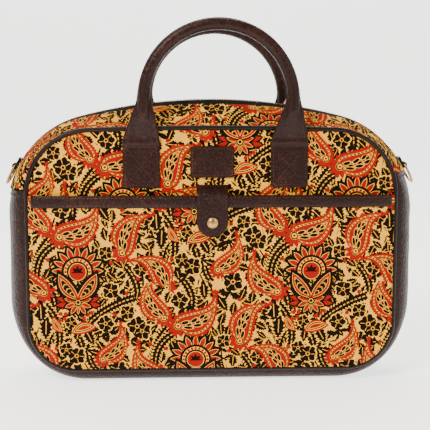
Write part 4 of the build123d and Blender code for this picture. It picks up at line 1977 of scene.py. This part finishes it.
@dataclass
class SnapTab:
    """Leather tab over the pocket's mouth, with a domed snap."""

    half: float = 15.0
    wall: float = 2.0
    top: float = 196.0
    low: float = 146.5
    sewn: float = 43.4
    hang: float = 52.2
    bend_low: float = 185.0
    stitch_inset: float = 2.3
    snap_height: float = 160.5
    cap_radius: float = 5.25
    cap_base: float = 53.2
    cap_rise: float = 1.9

    def away(self, z: Array) -> Array:
        """Distance of the tab's middle from the bag's middle: straight down, bent in to its sewn end."""
        return self.hang + (self.sewn - self.hang) * smooth_step(z, self.bend_low, self.top) ** 1.4

    def edge(self, z: Array) -> Array:
        """Half width at a height: straight sides and a half circle at the lower end."""
        below = np.clip((self.low + self.half - z) / self.half, 0.0, 1.0)
        return self.half * np.sqrt(1.0 - below ** 2)

    def build(self, wear: Wardrobe) -> None:
        """Make the leather, its stitches and the cap.

        Args:
            wear: The finishes.
        """
        low = self.low + self.half * (1.0 - np.cos(np.linspace(0.05, math.pi / 2, 18)))
        z = np.concatenate([low, np.linspace(self.low + self.half + 1.0, self.top, 40)])
        path = np.stack([0.0 * z, -self.away(z), z], axis=-1)
        across = everywhere((1.0, 0.0, 0.0), path)
        out = np.cross(across, unit(np.gradient(path, axis=0)))
        profile = widened(oval(2.0, self.wall, 32, 6.0), self.edge(z))
        piece = carried("snap_tab_leather", path, across, out, profile)
        piece.dressed(wear.leather, "brown_leather", "tab", "snap_tab")
        self.stitches(wear, z, out)
        self.cap(wear)

    def stitches(self, wear: Wardrobe, z: Array, out: Array) -> None:
        """Sew a row down one side, round the lower end and up the other side.

        Args:
            wear: The finishes.
            z: Heights along the tab, in mm.
            out: Direction outwards at each height.
        """
        line = np.linspace(self.top - 1.5, self.low + self.half, 40)
        turn = np.linspace(0.0, math.pi, 40)
        radius = self.half - self.stitch_inset
        x = np.concatenate([np.full(len(line), radius), radius * np.cos(turn), np.full(len(line), -radius)])
        height = np.concatenate([line, self.low + self.half - radius * np.sin(turn), line[::-1]])
        face = np.stack([x, -self.away(height), height], axis=-1)
        normal = np.stack([np.interp(height, z, out[:, axis]) for axis in range(3)], axis=-1)
        Thread(pitch=3.0, length=2.2, width=0.75, rise=0.4).sew(
            "snap_tab_stitches", [(face + normal * (self.wall / 2 - 0.1), normal, False)]).dressed(
            wear.thread, "brown_leather", "tab")

    def cap(self, wear: Wardrobe) -> None:
        """Turn the cap about the snap's axis: a rolled rim round a shallow dome.

        Args:
            wear: The finishes.
        """
        radius = self.cap_radius * np.array([1.0, 1.0, 0.97, 0.9, 0.82, 0.76, 0.72, 0.6, 0.4, 0.2, 0.0])
        rise = self.cap_rise * np.array([0.0, 0.3, 0.5, 0.62, 0.6, 0.5, 0.62, 0.8, 0.94, 0.99, 1.0])
        turn = np.linspace(0.0, 2 * math.pi, 48, endpoint=False)[None]
        points = np.stack(np.broadcast_arrays(
            radius[:, None] * np.cos(turn), -self.cap_base - rise[:, None],
            self.snap_height + radius[:, None] * np.sin(turn)), axis=-1)
        base = points[:1] * 1.0
        base[..., 0] *= 0.0
        base[..., 2] = self.snap_height
        piece = grid_piece("snap_cap_brass", np.concatenate([base, points]), wrap_columns=True).outward()
        piece.dressed(wear.brass, "antique_brass", "tab", "snap_cap")


@dataclass
class SideRing:
    """Ring of round wire, hung in a folded leather loop on the gusset."""

    hand: Hand
    place: tuple = (193.15, 211.49)
    width: float = 22.6
    drop: float = 19.0
    bow_corner: float = 9.5
    bar_corner: float = 2.6
    wire: float = 2.4
    hang: float = math.radians(27.0)
    surface: float = 0.4596
    loop_radius: float = 2.4
    loop_wall: float = 1.5
    loop_width: float = 15.0
    tail: float = 9.0

    def build(self, wear: Wardrobe) -> None:
        """Make the ring and its loop.

        Args:
            wear: The finishes.
        """
        self.ring(wear)
        self.loop(wear)

    def tilted(self, flat: Array, tilt: float) -> tuple[Array, Array]:
        """Lay a drawing in the upright plane across the bag, through the bar and turned by a tilt.

        Args:
            flat: Places outwards, to the back and upwards, shape (n, 3), in mm.
            tilt: Angle from upright, in radians.

        Returns:
            Points, shape (n, 3), in mm, and the direction outwards.
        """
        out = np.array([math.cos(tilt) * self.hand.value, 0.0, math.sin(tilt)])
        along = np.array([-math.sin(tilt) * self.hand.value, 0.0, math.cos(tilt)])
        bar = np.array([self.place[0] * self.hand.value, 0.0, self.place[1]])
        return bar + flat @ np.stack([out, [0.0, 1.0, 0.0], along]), out

    def ring(self, wear: Wardrobe) -> None:
        """Carry round wire along a rectangle with rounded corners, in its hanging plane.

        Args:
            wear: The finishes.
        """
        half, count = self.width / 2, 14
        spots = [(half, 0.0, self.bar_corner, 0.0), (-half, 0.0, self.bar_corner, math.pi / 2),
                 (-half, -self.drop, self.bow_corner, math.pi),
                 (half, -self.drop, self.bow_corner, 1.5 * math.pi)]
        line = []
        for x, y, corner, start in spots:
            turn = np.linspace(start, start + math.pi / 2, count)
            middle = np.array([x - math.copysign(corner, x), y - corner if y == 0.0 else y + corner])
            line.append(middle + corner * np.stack([np.cos(turn), np.sin(turn)], axis=-1))
        path, normal = self.tilted(np.pad(np.vstack(line), ((0, 0), (1, 0))), self.hang)
        up = everywhere(normal, path)
        piece = carried(f"{self.hand.word}_ring_brass", path, np.cross(loop_tangent(path), up), up,
                        oval(self.wire, self.wire, 14), closed=True)
        piece.dressed(wear.brass, "antique_brass", f"{self.hand.word}_ring", f"d_ring_{self.hand.word}")

    def loop(self, wear: Wardrobe) -> None:
        """Fold a strip round the ring's bar: part of a circle, with both tails up along the gusset.

        Args:
            wear: The finishes.
        """
        turn = np.linspace(math.radians(150), math.radians(-190), 40)
        fold = self.loop_radius * np.stack([np.cos(turn), np.sin(turn)], axis=-1)
        outer = np.stack([np.full(8, -0.7), np.linspace(self.tail, 2.6, 8)], axis=-1)
        inner = np.stack([np.full(6, -2.35), np.linspace(1.4, self.tail, 6)], axis=-1)
        flat = np.insert(np.vstack([outer, fold[4:], inner]), 1, 0.0, axis=1)
        path, _ = self.tilted(flat, self.surface)
        across = everywhere((0.0, 1.0, 0.0), path)
        up = np.cross(across, unit(np.gradient(path, axis=0)))
        piece = carried(f"{self.hand.word}_ring_loop_leather", path, across, up,
                        oval(self.loop_width, self.loop_wall, 24, 6.0))
        piece.dressed(wear.dark, "black_leather", "bag", f"ring_loop_{self.hand.word}")


@dataclass(frozen=True)
class Fittings:
    """Pieces that keep their solid form: zip metal, snap parts, padding, lining and stiffeners."""

    fill: float = 0.5
    lining_share: float = 0.93
    brass: tuple = ("zip_teeth_front", "zip_teeth_back", "zip_stops", "zip_slider_left", "zip_slider_right",
                    "snap_socket", "snap_stud", "snap_stud_back")
    leather: tuple = ("zip_pull_left", "zip_pull_right")
    foam: tuple = ("foam_front", "foam_back")
    lining: tuple = ("lining_front", "lining_back")
    divider: str = "laptop_divider"
    board: str = "base_board"

    def dress(self, wear: Wardrobe) -> None:
        """Args:
            wear: The finishes.
        """
        for finish, names in ((wear.brass, self.brass), (wear.leather, self.leather), (wear.foam, self.foam),
                              (wear.lining, self.lining + (self.divider,)), (wear.board, (self.board,))):
            for name in names:
                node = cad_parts[name]
                node.data.materials.clear()
                node.data.materials.append(finish)
                LOG.info("%s: finished", name)
        for name in self.foam + (self.divider,):
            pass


# Studio


@dataclass(frozen=True)
class Studio:
    """White sweep, soft lamps and the camera at the photograph's height."""

    distance: float = 1.05
    azimuth: float = -2.2
    elevation: float = 7.6
    target: tuple = (0.0043, 0.0, 0.161)
    lens: float = 87.5
    sensor: float = 36.0
    warmth: tuple = (1.0, 0.92, 0.8)
    lamps: tuple = (
        ((-1.0, -1.4, 1.5), 0.7, 72.0),
        ((1.3, -1.3, 0.9), 0.8, 20.0),
        ((0.0, 0.6, 1.6), 1.2, 22.0),
    )
    aim: tuple = (0.0, 0.0, 0.15)
    world: float = 0.25
    paper: tuple = (0.85, 0.85, 0.85, 1.0)
    glow: float = 1.8
    white: tuple = (1.0, 1.0, 1.0, 1.0)
    half_width: float = 5000.0
    near: float = -1100.0
    far: float = 1600.0
    bend: float = 700.0
    wall: float = 4000.0

    def build(self) -> None:
        """Make the sweep, the lamps, the world and the camera."""
        self.sweep()
        self.light()
        self.camera()

    def sweep(self) -> None:
        """Floor that curves up behind the bag: a flat run, a quarter circle and a wall."""
        turn = np.linspace(0.0, math.pi / 2, 20)
        y = np.concatenate([[self.near], self.far + self.bend * np.sin(turn), [self.far + self.bend]])
        z = np.concatenate([[0.0], self.bend * (1.0 - np.cos(turn)), [self.wall]])
        x = np.array([-self.half_width, self.half_width])
        points = np.stack(np.broadcast_arrays(x[None, :], y[:, None], z[:, None]), axis=-1)
        piece = grid_piece("studio_sweep", points, flip=True)
        paper = Tree("studio_paper").close(Base_Color=self.paper, Roughness=0.9, Emission_Color=self.white,
                                           Emission_Strength=self.glow)
        piece.object.data.materials.append(paper)

    def light(self) -> None:
        """Soft square lamps that face the bag, and an even white world."""
        aim = mathutils.Vector(self.aim)
        for number, (place, size, power) in enumerate(self.lamps):
            data = bpy.data.lights.new(f"studio_lamp_{number}", "AREA")
            data.size = size
            data.energy = power
            data.color = self.warmth
            lamp = bpy.data.objects.new(data.name, data)
            lamp.location = place
            lamp.rotation_euler = (aim - lamp.location).to_track_quat("-Z", "Y").to_euler()
            bpy.context.scene.collection.objects.link(lamp)
        world = bpy.data.worlds.new("studio_world")
        world.use_nodes = True
        backdrop = world.node_tree.nodes["Background"]
        backdrop.inputs["Color"].default_value = self.white
        backdrop.inputs["Strength"].default_value = self.world
        bpy.context.scene.world = world

    def camera(self) -> None:
        """Camera on a circle round the target, facing it."""
        turn, lift = math.radians(self.azimuth), math.radians(self.elevation)
        level = math.cos(lift)
        way = mathutils.Vector((math.sin(turn) * level, -math.cos(turn) * level, math.sin(lift)))
        data = bpy.data.cameras.new("studio_camera")
        data.lens = self.lens
        data.sensor_width = self.sensor
        camera = bpy.data.objects.new("studio_camera", data)
        camera.location = mathutils.Vector(self.target) + way * self.distance
        camera.rotation_euler = (-way).to_track_quat("-Z", "Y").to_euler()
        bpy.context.scene.collection.objects.link(camera)
        bpy.context.scene.camera = camera


def main() -> None:
    """Build the bag piece by piece, then the studio."""
    logging.basicConfig(level=logging.INFO, format="%(name)s %(message)s")
    wear = Wardrobe()
    for side in Side:
        Panel(side).build(wear)
    Gusset().build(wear)
    Pocket().build(wear)
    for side in Side:
        Handle(side).build(wear)
    Patch().build(wear)
    SnapTab().build(wear)
    for hand in Hand:
        SideRing(hand).build(wear)
    Fittings().dress(wear)
    Studio().build()


if __name__ == "__main__":
    main()
